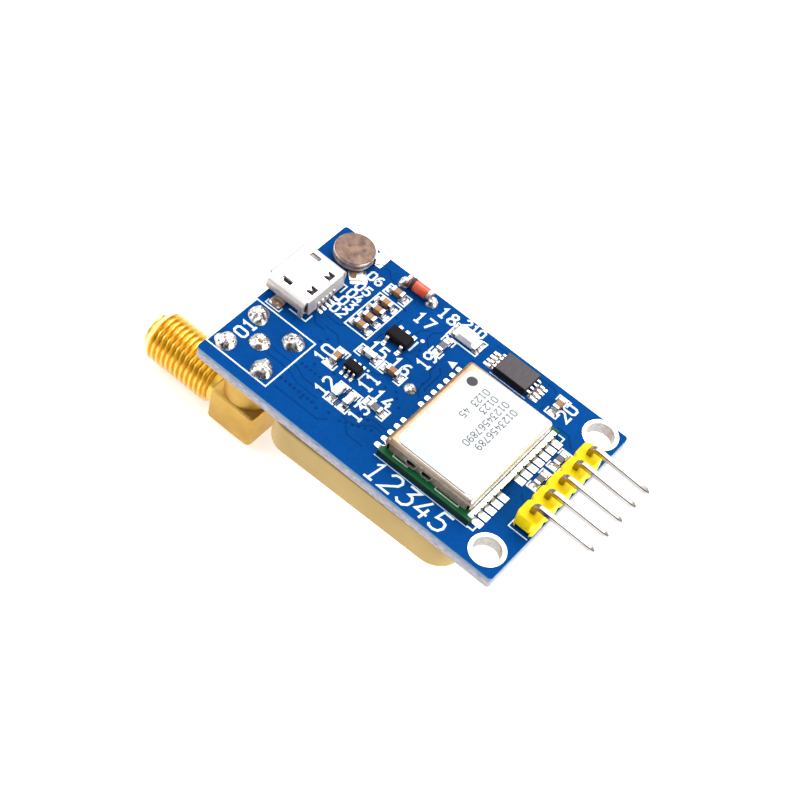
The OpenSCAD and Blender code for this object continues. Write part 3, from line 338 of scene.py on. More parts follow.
# Rows of vias: the first one's place, the step to the next and their number. Then single ones.
VIA_ROWS = ((8.9, 3.45, 0.62, 0.0, 8), (9.2, 6.5, 0.62, 0.0, 6),
            (16.8, 3.75, 0.62, 0.3, 6), (17.6, 6.0, 0.6, 0.0, 3))
via_spots = [(u + du * i, v + dv * i) for u, v, du, dv, count in VIA_ROWS for i in range(count)]
via_spots += [(10.2, 7.4), (12.4, 8.0), (12.0, 3.0), (14.0, 3.2), (15.3, 3.7), (8.6, 10.2), (9.0, 11.0),
              (19.2, 10.4), (18.6, 11.0), (17.4, 10.6), (20.1, 9.6), (19.9, 14.0), (17.2, 16.4), (16.9, 17.2),
              (12.3, 18.8), (12.3, 20.3), (33.9, 19.3), (34.6, 18.8), (35.0, 9.6), (35.3, 8.9), (21.9, 20.4)]
bm = bmesh.new()
for u, v in via_spots:
    turned(bm, at(u, v), [(VIA_R, 0), (VIA_R, 0.008), (VIA_R * 0.72, 0.016), (VIA_R * 0.4, 0.006)], 16)
piece("tented_vias", bm, gap_mask, "blue_board")


# Printed legend: white epoxy ink screened on the mask, about 0.02 mm thick and 0.18 mm wide.
# It frames every part, marks pin 1 and counts the parts with plain numbers.
ink, tree, shader, coords = start_material("screened_white_ink", {"Roughness": 0.55})
pores = add(tree, "TexNoise", {"Vector": coords, "Scale": per_mm(0.14), "Detail": 2.0})
pores_step = add(tree, "MapRange", {"Value": pores, "From Min": 0.3, "From Max": 0.5})
tone = add(tree, "Mix", {0: pores_step, 6: "#BFE0EE", 7: "#F2FAFA"}, data_type="RGBA")
bump = add(tree, "Bump", {"Height": pores, "Strength": 0.2, "Distance": 0.00002})
plug(shader, {"Base Color": tone, "Normal": bump})

INK_H = 0.02
LINE_W = 0.18
# Strokes of plain digits in a box 0.6 wide and 1 high. A stroke that ends where it starts is closed.
DIGITS = {
    "0": [[(0.14, 0), (0.46, 0), (0.6, 0.16), (0.6, 0.84), (0.46, 1), (0.14, 1), (0, 0.84), (0, 0.16),
           (0.14, 0)]],
    "1": [[(0.1, 0.78), (0.32, 1), (0.32, 0)], [(0.1, 0), (0.54, 0)]],
    "2": [[(0, 0.8), (0.12, 0.96), (0.3, 1), (0.48, 0.96), (0.6, 0.8), (0.56, 0.58), (0, 0), (0.6, 0)]],
    "3": [[(0, 1), (0.58, 1), (0.26, 0.6), (0.46, 0.58), (0.6, 0.4), (0.58, 0.16), (0.42, 0), (0.16, 0),
           (0, 0.14)]],
    "4": [[(0.34, 1), (0, 0.3), (0.6, 0.3)], [(0.44, 0), (0.44, 0.62)]],
    "5": [[(0.56, 1), (0.06, 1), (0.03, 0.56), (0.3, 0.62), (0.52, 0.54), (0.6, 0.32), (0.52, 0.08),
           (0.3, 0), (0.08, 0.04), (0, 0.14)]],
    "6": [[(0.52, 0.96), (0.3, 1), (0.1, 0.84), (0, 0.5), (0.03, 0.18), (0.18, 0), (0.42, 0), (0.6, 0.18),
           (0.58, 0.42), (0.42, 0.58), (0.18, 0.54), (0.04, 0.38)]],
    "7": [[(0, 1), (0.6, 1), (0.22, 0)]],
    "8": [[(0.3, 0.54), (0.1, 0.66), (0.06, 0.84), (0.18, 1), (0.42, 1), (0.54, 0.84), (0.5, 0.66),
           (0.3, 0.54)],
          [(0.3, 0.54), (0.06, 0.4), (0, 0.18), (0.14, 0), (0.46, 0), (0.6, 0.18), (0.54, 0.4),
           (0.3, 0.54)]],
    "9": [[(0.08, 0.04), (0.3, 0), (0.5, 0.16), (0.6, 0.5), (0.57, 0.82), (0.42, 1), (0.18, 1), (0, 0.82),
           (0.02, 0.58), (0.18, 0.42), (0.42, 0.46), (0.56, 0.62)]],
}
# A digit starts ADVANCE of its height after the one before. Its last stroke lies LAP higher, so that
# strokes that cross share no face.
ADVANCE, LAP = 0.88, 0.002


def write(bm, matrix, digits, size, width, height, slant=0.0):
    """Draws digits as strokes from a matrix's origin along its X."""
    for k, digit in enumerate(digits):
        for line in DIGITS.get(digit, []):
            closed = line[0] == line[-1]
            corners = line[:-1] if closed else line
            points = [((x + ADVANCE * k + slant * y) * size, y * size) for x, y in corners]
            stroke(bm, matrix, points, width, height + LAP * (line is DIGITS[digit][-1]), closed)


def shift(x, y=0.0, z=0.0):
    """Matrix of a move in a piece's own millimetres."""
    return Matrix.Translation((x, y, z))


legend = bmesh.new()
for u0, v0, u1, v1 in ((0.1, 1.4, 8.5, 9.5), (8.8, 14.05, 11.9, 20.2)):
    stroke(legend, at(0, 0), [(u0, v0), (u1, v0), (u1, v1), (u0, v1)], LINE_W, INK_H, True)
# Two brackets round the ends of each chip part, narrower beside the header.
BRACKET_L, BRACKET_ARM = 1.5, 0.85
for u, v, turn, half_w in (
        (10.35, 21.35, 0, 0.74), (32.1, 22.4, 90, 0.74), (11.3, 9.7, 90, 0.74), (16.75, 12.6, 0, 0.74),
        (13.5, 12.6, 0, 0.74), (14.35, 6.3, 90, 0.74), (15.85, 6.3, 90, 0.74), (18.4, 7.7, 0, 0.74),
        (18.3, 19.45, 90, 0.74), (36.38, 13.3, 90, 0.66), (36.38, 16.85, 90, 0.66)):
    for side in (-1, 1):
        out, back = side * BRACKET_L, side * (BRACKET_L - BRACKET_ARM)
        corners = [(back, -half_w), (out, -half_w), (out, half_w), (back, half_w)]
        stroke(legend, at(u, v, 0, turn), corners, LINE_W, INK_H)
# Lines beside the parts: their points, and their weight as a share of the usual width.
PRINTED_LINES = (
    ([(18.2, 21.1), (17.5, 21.1), (17.5, 23.4), (18.2, 23.4)], 1.0),
    ([(17.9, 21.1), (21.6, 21.1), (21.6, 21.6)], 1.0),
    ([(21.0, 23.4), (21.6, 23.4), (21.6, 22.9)], 1.0),
    ([(16.05, 16.3), (16.05, 18.0)], 1.3),
    ([(14.75, 9.2), (14.75, 10.5)], 1.0),
    ([(24.0, 20.6), (28.9, 20.6)], 0.5),
    ([(1.0, 10.5), (1.0, 9.9), (2.9, 9.9), (2.9, 10.5)], 0.8),
    ([(3.4, 11.05), (5.75, 11.05), (5.75, 12.2)], 1.0),
    ([(5.75, 16.9), (5.75, 18.1), (4.4, 18.1)], 1.0),
    ([(39.8, 6.45), (37.35, 6.45), (37.35, 19.65), (39.8, 19.65)], 0.7),
    ([(22.0, 3.15), (34.5, 3.15)], 0.5),
    ([(34.3, 3.3), (35.1, 3.3), (35.1, 3.9)], 1.0),
    ([(34.3, 19.5), (35.1, 19.5), (35.1, 18.9)], 1.0),
)
for points, weight in PRINTED_LINES:
    stroke(legend, at(0, 0), points, LINE_W * weight, INK_H)
for u, v, r in ((16.3, 18.45, 0.24), (14.75, 10.95, 0.16)):
    turned(legend, at(u, v), [(r, 0), (r, INK_H)], 20)
loft(legend, at(20.5, 18.45), [[(-0.55, -0.1, z), (0.44, -0.55, z), (0.33, 0.55, z)] for z in (0, INK_H)])
# Middles of the part numbers. They read across the board (turn 90) or along it (turn 0).
PART_H, PART_STROKE, PAIR_HALF = 1.5, 0.27, 0.74
for digits, u, v, turn in (
        ("01", 1.93, 5.55, 90), ("10", 10.0, 9.3, 90), ("11", 15.8, 9.8, 90), ("12", 12.84, 6.1, 90),
        ("13", 17.5, 6.0, 90), ("14", 18.25, 9.25, 0), ("15", 13.7, 13.95, 0), ("16", 16.8, 14.04, 0),
        ("17", 14.7, 20.8, 0), ("18", 16.15, 23.3, 0), ("19", 18.29, 16.7, 90), ("20", 33.3, 22.5, 90)):
    corner = at(u, v, 0, turn) @ shift(-PAIR_HALF * PART_H, -PART_H / 2)
    write(legend, corner, digits, PART_H, PART_STROKE, INK_H)
# Smaller numbers run beside the capacitors and the lamp, tall slanted ones along the near edge.
BESIDE_U, BESIDE_H, BESIDE_STROKE = 6.35, 1.2, 0.26
LAMP_NUMBER_H, LAMP_NUMBER_STROKE = 1.1, 0.25
TALL_H, TALL_STROKE, TALL_SLANT = 2.45, 0.28, 0.14
for digits, v in (("02", 14.3), ("03", 15.75), ("04", 17.2), ("05", 18.65), ("06", 20.75)):
    write(legend, at(BESIDE_U, v), digits, BESIDE_H, BESIDE_STROKE, INK_H)
write(legend, at(18.0, 23.5), "210", LAMP_NUMBER_H, LAMP_NUMBER_STROKE, INK_H)
write(legend, at(22.6, 0.45), "12345", TALL_H, TALL_STROKE, INK_H, TALL_SLANT)
piece("printed_legend", legend, ink, "blue_board")


# Patch antenna: a fired tan ceramic block 25 mm square, silvered on both faces.
# A flat-headed pin runs through it. It is stuck under the board by hand, slightly askew.
ceramic, tree, shader, coords = start_material(
    "fired_antenna_ceramic", {"Roughness": 0.55, "Specular IOR Level": 0.4})
cloud = add(tree, "TexNoise", {"Vector": coords, "Scale": per_mm(6.0), "Detail": 5.0})
grit = add(tree, "TexNoise", {"Vector": coords, "Scale": per_mm(0.25), "Detail": 3.0})
tone = add(tree, "Mix", {0: cloud, 6: "#AE8E49", 7: "#C6A969"}, data_type="RGBA")
grit_step = add(tree, "MapRange", {"Value": grit, "From Min": 0.62, "From Max": 0.75, "To Max": 0.35})
speckled = add(tree, "Mix", {0: grit_step, 6: tone, 7: "#A8833C"}, data_type="RGBA")
bump = add(tree, "Bump", {"Height": grit, "Strength": 0.12, "Distance": 0.00004})
plug(shader, {"Base Color": speckled, "Normal": bump})


def rounded(l, w, r, z, steps=6):
    """Ring of a rounded rectangle at a height."""
    points = []
    for k, (sx, sy) in enumerate(((1, -1), (1, 1), (-1, 1), (-1, -1))):
        for i in range(steps + 1):
            a = math.pi / 2 * (k - 1 + i / steps)
            points.append((sx * (l / 2 - r) + r * math.cos(a), sy * (w / 2 - r) + r * math.sin(a), z))
    return points


def slab(bm, matrix, l, w, z0, z1, r, edge, steps=4):
    """A rounded plate whose upper and lower edges are rounded too."""
    rings = []
    for z, sense in ((z0, 1), (z1, -1)):
        part = []
        for a in [math.pi / 2 * i / 3 for i in range(4)]:
            inset, rise = edge * (1 - math.sin(a)), sense * edge * (1 - math.cos(a))
            part.append(rounded(l - 2 * inset, w - 2 * inset, max(r - inset, 0.01), z + rise, steps))
        rings += part if sense > 0 else part[::-1]
    loft(bm, matrix, rings)


ANTENNA = at(22.3, 12.5, 0, 1.2)
BLOCK_SIDE, BLOCK_LOW, BLOCK_HIGH, BLOCK_R = 25.0, -5.85, -1.85, 3.0
bm = bmesh.new()
slab(bm, ANTENNA, BLOCK_SIDE, BLOCK_SIDE, BLOCK_LOW, BLOCK_HIGH, BLOCK_R, 0.2, 10)
piece("antenna_block", bm, ceramic, "antenna_ceramic", "antenna_ceramic")

# Fired silver paste: pale, half matt, with the mesh of the screen it was printed through.
silver = mottled(
    "fired_silver_paste", {"Metallic": 1.0, "Roughness": 0.42},
    0.3, "#C4C3BF", "#EDECE8", 2.0, (0.2, 0.00004))
dress(silver, "antenna_ground", "antenna_patch")
dress(bright_tin, "antenna_feed")

# Acrylic foam tape: white, soft and matt, with closed cells of about 0.2 mm.
foam, tree, shader, coords = start_material("acrylic_foam_tape", {"Roughness": 0.95})
cells = add(tree, "TexVoronoi", {"Vector": coords, "Scale": per_mm(0.2)})
tone = add(tree, "Mix", {0: cells, 6: "#F4F2EC", 7: "#DAD7CF"}, data_type="RGBA")
plug(shader, {"Base Color": tone})
dress(foam, "antenna_tape")


# Coaxial jack: a brass elbow, turned and milled, then gold plated. Four legs go through the board.
# A threaded barrel leaves the block under the board's end; PTFE and a spring contact are inside.
# Satin gold: the milled faces scatter the light, so they look pale and tan.
satin_gold, tree, shader, coords = start_material("satin_gold_plate", {"Metallic": 0.85})
tint = add(tree, "TexNoise", {"Vector": coords, "Scale": per_mm(2.0), "Detail": 4.0})
tone = add(tree, "Mix", {0: tint, 6: "#BE9236", 7: "#D9B464"}, data_type="RGBA")
milled = add(tree, "Mapping", {"Vector": coords, "Scale": per_mm(0.9, 0.9, 0.08)})
marks = add(tree, "TexNoise", {"Vector": milled, "Scale": 1.0, "Detail": 3.0})
dull = add(tree, "MapRange", {"Value": marks, "To Min": 0.36, "To Max": 0.55})
bump = add(tree, "Bump", {"Height": marks, "Strength": 0.12, "Distance": 0.00003})
plug(shader, {"Base Color": tone, "Roughness": dull, "Normal": bump})
# Bright gold: the turned thread is plated over a smooth cut, so it is deep yellow with white glints.
bright_gold, tree, shader, coords = start_material(
    "bright_gold_plate", {"Metallic": 1.0, "Coat Weight": 1.0, "Coat Roughness": 0.07, "Coat IOR": 1.8})
tint = add(tree, "TexNoise", {"Vector": coords, "Scale": per_mm(1.2), "Detail": 3.0})
tone = add(tree, "Mix", {0: tint, 6: "#DFA608", 7: "#F5CC22"}, data_type="RGBA")
dull = add(tree, "MapRange", {"Value": tint, "To Min": 0.3, "To Max": 0.46})
plug(shader, {"Base Color": tone, "Roughness": dull})

JACK_U, JACK_V = 4.25, 5.32
LEG_STEP = 2.54
BARREL_Z = -11.0
LEG_W, FOOT_W, COLUMN_R, ELBOW_L, ELBOW_W = 1.0, 6.4, 2.95, 6.3, 6.4
# Heights from the legs' tips down to the elbow's underside. Pieces lap by SEAT where they meet.
LEG_TIP, FOOT_TOP, FOOT_LOW, ELBOW_TOP, ELBOW_LOW, SEAT = 0.45, -1.6, -3.6, -8.5, -13.5, 0.1
JACK = at(JACK_U, JACK_V)
LEGS = [at(JACK_U + sx * LEG_STEP, JACK_V + sy * LEG_STEP) for sx in (-1, 1) for sy in (-1, 1)]
bm = bmesh.new()
for leg in LEGS:
    slab(bm, leg, LEG_W, LEG_W, FOOT_TOP - SEAT, LEG_TIP, 0.06, 0.08, 2)
slab(bm, JACK, FOOT_W, FOOT_W, FOOT_LOW, FOOT_TOP, 0.45, 0.1)
turned(bm, JACK, [(COLUMN_R, ELBOW_TOP - SEAT), (COLUMN_R, FOOT_LOW + SEAT)], 64)
slab(bm, JACK, ELBOW_L, ELBOW_W, ELBOW_LOW, ELBOW_TOP, 0.6, 0.3)
piece("jack_elbow", bm, satin_gold, "gold_plated", "jack_body")

# Thread of 36 turns to the inch, cut from the neck to a plain lip at the mouth.
CREST, ROOT, LIP_R, BORE = 3.04, 2.62, 2.75, 2.06
PITCH = 25.4 / 36
BARREL_L, LIP_L, LEAD_IN, LIP_BREAK = 9.9, 0.9, 0.3, 0.12
SHOULDER, NECK_L, NECK_R = 3.15, 0.8, 2.6
ROUND, ROWS_PER_TURN = 72, 12
barrel_rows = []
row_count = int(BARREL_L / PITCH * ROWS_PER_TURN)
for k in range(row_count + 1):
    x = BARREL_L * k / row_count
    past = x - (BARREL_L - LIP_L - LEAD_IN)
    lip = LIP_R - max(0.0, x - BARREL_L + LIP_BREAK) if past > LEAD_IN else CREST
    most = min(CREST - max(0.0, past), ROOT + 1.5 * x, lip)
    row = []
    for i in range(ROUND):
        phase = (x / PITCH - i / ROUND) % 1.0
        tooth = min(1.0, 0.75 - 0.75 * math.cos(math.tau * phase))
        r = min(most, ROOT + (CREST - ROOT) * tooth) if past < LEAD_IN else most
        a = math.tau * i / ROUND
        row.append((r * math.cos(a), r * math.sin(a), x))
    barrel_rows.append(row)
barrel_rows += [circle(BORE, x, ROUND) for x in (BARREL_L, 0.0)]
BARREL = at(JACK_U, JACK_V, BARREL_Z) @ Matrix.Rotation(-math.pi / 2, 4, "Y")
bm = bmesh.new()
loft(bm, BARREL @ shift(0, 0, SHOULDER + NECK_L), barrel_rows, True)
turned(bm, BARREL, [(NECK_R, SHOULDER - SEAT), (NECK_R, SHOULDER + NECK_L - 0.001)], 48)
piece("jack_barrel", bm, bright_gold, "gold_plated")
dress(bright_gold, "jack_contact")

# Turned PTFE: milky white and waxy, with faint turning rings.
ptfe = mottled(
    "turned_ptfe", {"Roughness": 0.5, "Subsurface Weight": 0.1, "Subsurface Scale": 0.0005},
    0.3, "#E9E6DC", "#F7F5EF")
dress(ptfe, "jack_insulator")

# Hand-soldered joints: tin that wetted the pad and froze in a crown over the leg.
# It is bright and rippled, with dull grey skin in places and traces of brown flux.
solder, tree, shader, coords = start_material("hand_soldered_tin", {"Metallic": 1.0})
skin = add(tree, "TexNoise", {"Vector": coords, "Scale": per_mm(0.55), "Detail": 4.0})
flux = add(tree, "TexNoise", {"Vector": coords, "Scale": per_mm(0.4), "Detail": 3.0})
tone = add(tree, "Mix", {0: skin, 6: "#D0C8C0", 7: "#FDFAF6"}, data_type="RGBA")
flux_step = add(tree, "MapRange", {"Value": flux, "From Min": 0.56, "From Max": 0.63, "To Max": 0.9})
stain_and_shade = add(tree, "Mix", {0: flux_step, 6: tone, 7: "#5A4334"}, data_type="RGBA")
dull = add(tree, "MapRange", {"Value": skin, "To Min": 0.15, "To Max": 0.4})
bump = add(tree, "Bump", {"Height": skin, "Strength": 0.4, "Distance": 0.0002})
plug(shader, {"Base Color": stain_and_shade, "Roughness": dull, "Normal": bump})


def crown(bm, matrix, radius, height, seed, lump=0.12, dent=0.0):
    """A frozen solder joint: a cone with a hollow flank and an uneven outline, dented or full on top."""
    rings = []
    for share, rise in (
            (1.0, 0.0), (1.0, 0.05), (0.96, 0.18), (0.9, 0.34), (0.83, 0.5), (0.75, 0.65), (0.66, 0.78),
            (0.56, 0.88), (0.45, 0.95 - dent * 0.1), (0.33, 1.0 - dent * 0.4), (0.2, 1.0 - dent * 0.8),
            (0.08, 1.0 - dent), (0.02, 1.0 - dent)):
        ring = []
        for point in circle(1.0, 0.0, 48):
            out = Vector(point)
            wave = noise.noise(out * 1.2 + Vector((0, 0, seed)))
            fine = noise.noise(out * share * 2.6 + Vector((seed, 0, rise)))
            r = radius * share * (1 + lump * wave)
            ring.append((r * out.x, r * out.y, height * rise * (1 + lump * (wave + 1.6 * fine))))
        rings.append(ring)
    loft(bm, matrix, rings)


# Dried flux: a thin brown glaze of rosin, clear at the edges and dark where it pooled.
rosin = mottled("dried_rosin_flux", {"Roughness": 0.3}, 0.5, "#35200F", "#B58D66", 3.0)


def bead(bm, matrix, radius, low, high):
    """A flat round bead between two heights."""
    shoulder = low + (high - low) * 0.6
    turned(bm, matrix, [(radius, low), (radius * 0.9, shoulder), (radius * 0.55, high), (0.02, high)], 20)


def stretch(x, y=1, z=1):
    """Matrix that scales a piece along its own axes; -1 mirrors it."""
    return Matrix.Diagonal((x, y, z, 1))


JOINT_R, JOINT_H, RIDGE_R, RIDGE_H, RIDGE_OUT = 1.28, 0.72, 0.62, 0.66, 0.55
bm, flux_beads = bmesh.new(), bmesh.new()
for k, joint in enumerate(LEGS):
    crown(bm, joint, JOINT_R, JOINT_H, 3.7 * k + 1, 0.22)
    ridge = joint @ shift(RIDGE_OUT * math.cos(2.1 * k), RIDGE_OUT * math.sin(2.1 * k))
    crown(bm, ridge, RIDGE_R, RIDGE_H, 5.1 * k, 0.2)
    bead(flux_beads, joint @ shift(-0.42, -0.72, 0), 0.2, 0.3, 0.52)
crown(bm, JACK, 1.2, 0.64, 21.3, 0.1, 0.12)
bead(flux_beads, JACK @ shift(0.15, -0.2, 0) @ stretch(1.3, 0.8, 1), 0.32, 0.5, 0.66)
piece("jack_joints", bm, solder, "solder", "jack_solder")
piece("jack_flux", flux_beads, rosin, "solder")
bm = bmesh.new()
crown(bm, at(19.4, 12.44), 0.74, 0.42, 8.1, 0.06)
piece("feed_joint", bm, solder, "solder", "antenna_solder")
dress(solder, "header_solder")


# Receiver: a green board with plated half holes, soldered to 24 pads along its two long sides.
# A pressed nickel-silver can covers its parts, and a paper label covers the can's top.
RX_U, RX_V = 28.25, 11.35
RX_W, RX_TOP = 12.2, 0.85
PAD_STEPS = [-7.0 + 1.1 * i for i in range(5)] + [0.4 + 1.1 * i for i in range(7)]
PAD_INSET, PAD_H, OPENING = 0.7, 0.045, 0.07
FILLET_LOW = 0.04
FILLET = [(0.0, FILLET_LOW), (1.0, FILLET_LOW), (1.0, 0.07), (0.66, 0.14), (0.38, 0.28), (0.17, 0.46),
          (0.04, 0.66), (0.0, 0.66)]


def pad_edge(side, y):
    """Matrix at a half hole in the receiver's edge, with X pointing out of the board."""
    return at(RX_U, RX_V) @ stretch(side) @ shift(RX_W / 2, y)


bm, openings = bmesh.new(), bmesh.new()
for side, reach, width, round_r, climb in ((-1, 1.0, 0.65, 0.22, 0.5), (1, 1.15, 0.88, 0.06, 0.2)):
    for y in PAD_STEPS:
        edge = pad_edge(side, y)
        middle = edge @ shift((reach - PAD_INSET) / 2, 0, 0)
        slab(bm, middle, reach + PAD_INSET, width, 0, PAD_H, round_r, 0.02, 3)
        slab(openings, middle, reach + PAD_INSET + 2 * OPENING, width + 2 * OPENING,
             0, GAP_H, round_r, 0.002, 3)
        rings = []
        for across, s in ((-0.42, 0.5), (-0.32, 0.9), (0.0, 1.0), (0.32, 0.9), (0.42, 0.5)):
            rings.append([(x * climb * s, across * width, FILLET_LOW + (z - FILLET_LOW) * s)
                          for x, z in FILLET])
        loft(bm, edge, rings)
piece("receiver_joints", bm, bright_tin, "solder", "receiver_solder")
piece("mask_openings", openings, gap_mask, "blue_board")

# Green mask over laminate: half gloss on top, with the milled sides bare, dark and matt.
green_mask, tree, shader, coords = start_material(
    "green_solder_mask_on_laminate", {"Specular IOR Level": 0.15})
mottle = add(tree, "TexNoise", {"Vector": coords, "Scale": per_mm(1.5), "Detail": 4.0})
tone = add(tree, "Mix", {0: mottle, 6: "#05351D", 7: "#107244"}, data_type="RGBA")
long_fibres = add(tree, "Mapping", {"Vector": coords, "Scale": per_mm(1.2, 1.2, 0.12)})
fibre = add(tree, "TexNoise", {"Vector": long_fibres, "Scale": 1.0, "Detail": 4.0})
side_tone = add(tree, "Mix", {0: fibre, 6: "#0A2415", 7: "#23452C"}, data_type="RGBA")
facing = add(tree, "SeparateXYZ", {0: add(tree, "NewGeometry").outputs["Normal"]})
on_face = add(tree, "MapRange", {"Value": facing.outputs[2], "From Min": 0.4, "From Max": 0.6})
skin = add(tree, "Mix", {0: on_face, 6: side_tone, 7: tone}, data_type="RGBA")
gloss = add(tree, "MapRange", {"Value": on_face, "To Min": 0.7, "To Max": 0.35})
plug(shader, {"Base Color": skin, "Roughness": gloss})
dress(green_mask, "receiver_board")

# Plated half holes, and their lands where the can leaves them bare. The can stands off centre.
CAN_U, CAN_V, CAN_W, CAN_L, CAN_H, CAN_R, CAN_WALL = 27.98, 11.46, 11.4, 14.7, 1.55, 0.55, 0.2
half_turn = [math.pi * i / 12 for i in range(13)]
LAND_L, LAND_W, LAND_H, PLATING = 0.6, 1.04, 0.03, 0.08
bm = bmesh.new()
for side, hole_r in ((-1, 0.2), (1, 0.15)):
    inner = [(-hole_r * math.sin(a), -hole_r * math.cos(a)) for a in half_turn]
    outer = [(x * (1 + PLATING / hole_r), y * (1 + PLATING / hole_r)) for x, y in inner]
    land = [(0, -LAND_W / 2), (-LAND_L, -LAND_W / 2), (-LAND_L, LAND_W / 2), (0, LAND_W / 2)]
    for y in PAD_STEPS:
        edge = pad_edge(side, y)
        loft(bm, edge, [[(x, across, z) for x, across in outer + inner[::-1]] for z in (0.1, RX_TOP)])
        if side > 0:
            rim = land + inner[::-1]
            loft(bm, edge, [[(x, across, z) for x, across in rim] for z in (RX_TOP, RX_TOP + LAND_H)])
# A plain land fills the gap between the two groups of the header-side row.
slab(bm, at(RX_U + (RX_W - LAND_L) / 2, RX_V - 1.1, RX_TOP), LAND_L, 1.9, 0.0, LAND_H, 0.05, 0.01, 2)
# Tin lines where the can's near and far walls are soldered down beside the vents.
for side in (-1, 1):
    v = CAN_V + side * (CAN_L / 2 + 0.26)
    for u0, u1 in ((23.75, 25.8), (29.35, 32.5)):
        slab(bm, at((u0 + u1) / 2, v, RX_TOP), u1 - u0, 0.13, 0.0, 0.05, 0.05, 0.02, 2)
        for u in (u0 + 0.06, u1 - 0.06):
            slab(bm, at(u, v - side * 0.14, RX_TOP), 0.12, 0.36, 0.0, 0.05, 0.05, 0.02, 2)
# Bright ledges curl out round the lower half of the vents.
RIM = [(-0.64, 0.6), (-0.6, 0.36), (-0.4, 0.16), (0.4, 0.16), (0.6, 0.36), (0.64, 0.6)]
VENTS = (-2.05, -0.05)
for x in VENTS:
    for turn in (0, 180):
        face = at(CAN_U, CAN_V, RX_TOP, turn) @ shift(x if turn == 0 else -x, -CAN_L / 2, 0)
        stroke(bm, face @ Matrix.Rotation(math.pi / 2, 4, "X"), RIM, 0.1, 0.18)
piece("half_hole_plating", bm, bright_tin, "tinned_metal")

# Pressed nickel silver: a dull mirror, tan towards its socket-side end and along its near edge.
# Along the near edge the tan is tarnish on the flat margin and painted shade over the bend.
# Its near wall is darkened in spots: a painted reflection of the dark green board below it.
nickel, tree, shader, coords = start_material("pressed_nickel_silver", {})
rolled = add(tree, "Mapping", {"Vector": coords, "Scale": per_mm(0.08, 2.5, 0.5)})
streak = add(tree, "TexNoise", {"Vector": rolled, "Scale": 1.0, "Detail": 4.0})
cloud = add(tree, "TexNoise", {"Vector": coords, "Scale": per_mm(0.8), "Detail": 5.0})
clean = add(tree, "Mix", {0: cloud, 6: "#EDE4DA", 7: "#FFFAF2"}, data_type="RGBA")
tarnish_and_shade = add(tree, "Mix", {0: cloud, 6: "#86684C", 7: "#C2A384"}, data_type="RGBA")
place = add(tree, "SeparateXYZ", {0: coords})
along = add(tree, "MapRange", {"Value": place.outputs[0], "From Min": -0.0045, "From Max": -0.0148})
socket_end_share = add(tree, "Math", {0: along, 1: 2.0}, operation="POWER")
facing = add(tree, "SeparateXYZ", {0: add(tree, "NewGeometry").outputs["Normal"]})
# Painted shade: the near bend takes the tan colour; on the flat margin beside it the tan is tarnish.
near_edge_tan_and_shade = add(tree, "MapRange", {"Value": place.outputs[1], "From Min": -0.0077, "From Max": -0.0081,
                                   "To Max": 0.6})
tan_and_shade_share = add(tree, "Math", {0: socket_end_share, 1: near_edge_tan_and_shade}, operation="MAXIMUM")
wear_and_shade = add(tree, "Mix", {0: tan_and_shade_share, 6: clean, 7: tarnish_and_shade}, data_type="RGBA")
# Painted reflection: the near-facing wall darkens in spots.
near_wall = add(tree, "MapRange", {"Value": facing.outputs[1], "From Min": -0.6, "From Max": -0.95})
spots = add(tree, "TexNoise", {"Vector": coords, "Scale": per_mm(0.35), "Detail": 4.0})
spots_step = add(tree, "MapRange", {"Value": spots, "From Min": 0.3, "From Max": 0.7,
                                    "To Min": 0.4, "To Max": 0.85})
painted_wall_shade = add(tree, "Math", {0: near_wall, 1: spots_step}, operation="MULTIPLY")
tone = add(tree, "Mix", {0: painted_wall_shade, 6: wear_and_shade, 7: "#726555"}, data_type="RGBA")
shine = add(tree, "MapRange", {"Value": near_wall, "To Min": 0.9, "To Max": 0.35})
dull = add(tree, "MapRange", {"Value": streak, "To Min": 0.24, "To Max": 0.42})
bump = add(tree, "Bump", {"Height": streak, "Strength": 0.12, "Distance": 0.00003})
plug(shader, {"Base Color": tone, "Metallic": shine, "Roughness": dull, "Normal": bump})


def cut(bm, cutters):
    """Cuts closed meshes out of a closed mesh, both in millimetres, and returns what is left."""
    pair = []
    for source in (bm, cutters):
        bmesh.ops.recalc_face_normals(source, faces=source.faces)
        mesh = bpy.data.meshes.new("cut")
        source.to_mesh(mesh)
        source.free()
        pair.append(bpy.data.objects.new("cut", mesh))
        bpy.context.collection.objects.link(pair[-1])
    tool = pair[0].modifiers.new("cut", "BOOLEAN")
    tool.operation = "DIFFERENCE"
    tool.solver = "EXACT"
    tool.object = pair[1]
    bpy.context.view_layer.update()
    result = bmesh.new()
    result.from_mesh(pair[0].evaluated_get(bpy.context.evaluated_depsgraph_get()).data)
    for obj in pair:
        mesh = obj.data
        bpy.data.objects.remove(obj)
        bpy.data.meshes.remove(mesh)
    return result


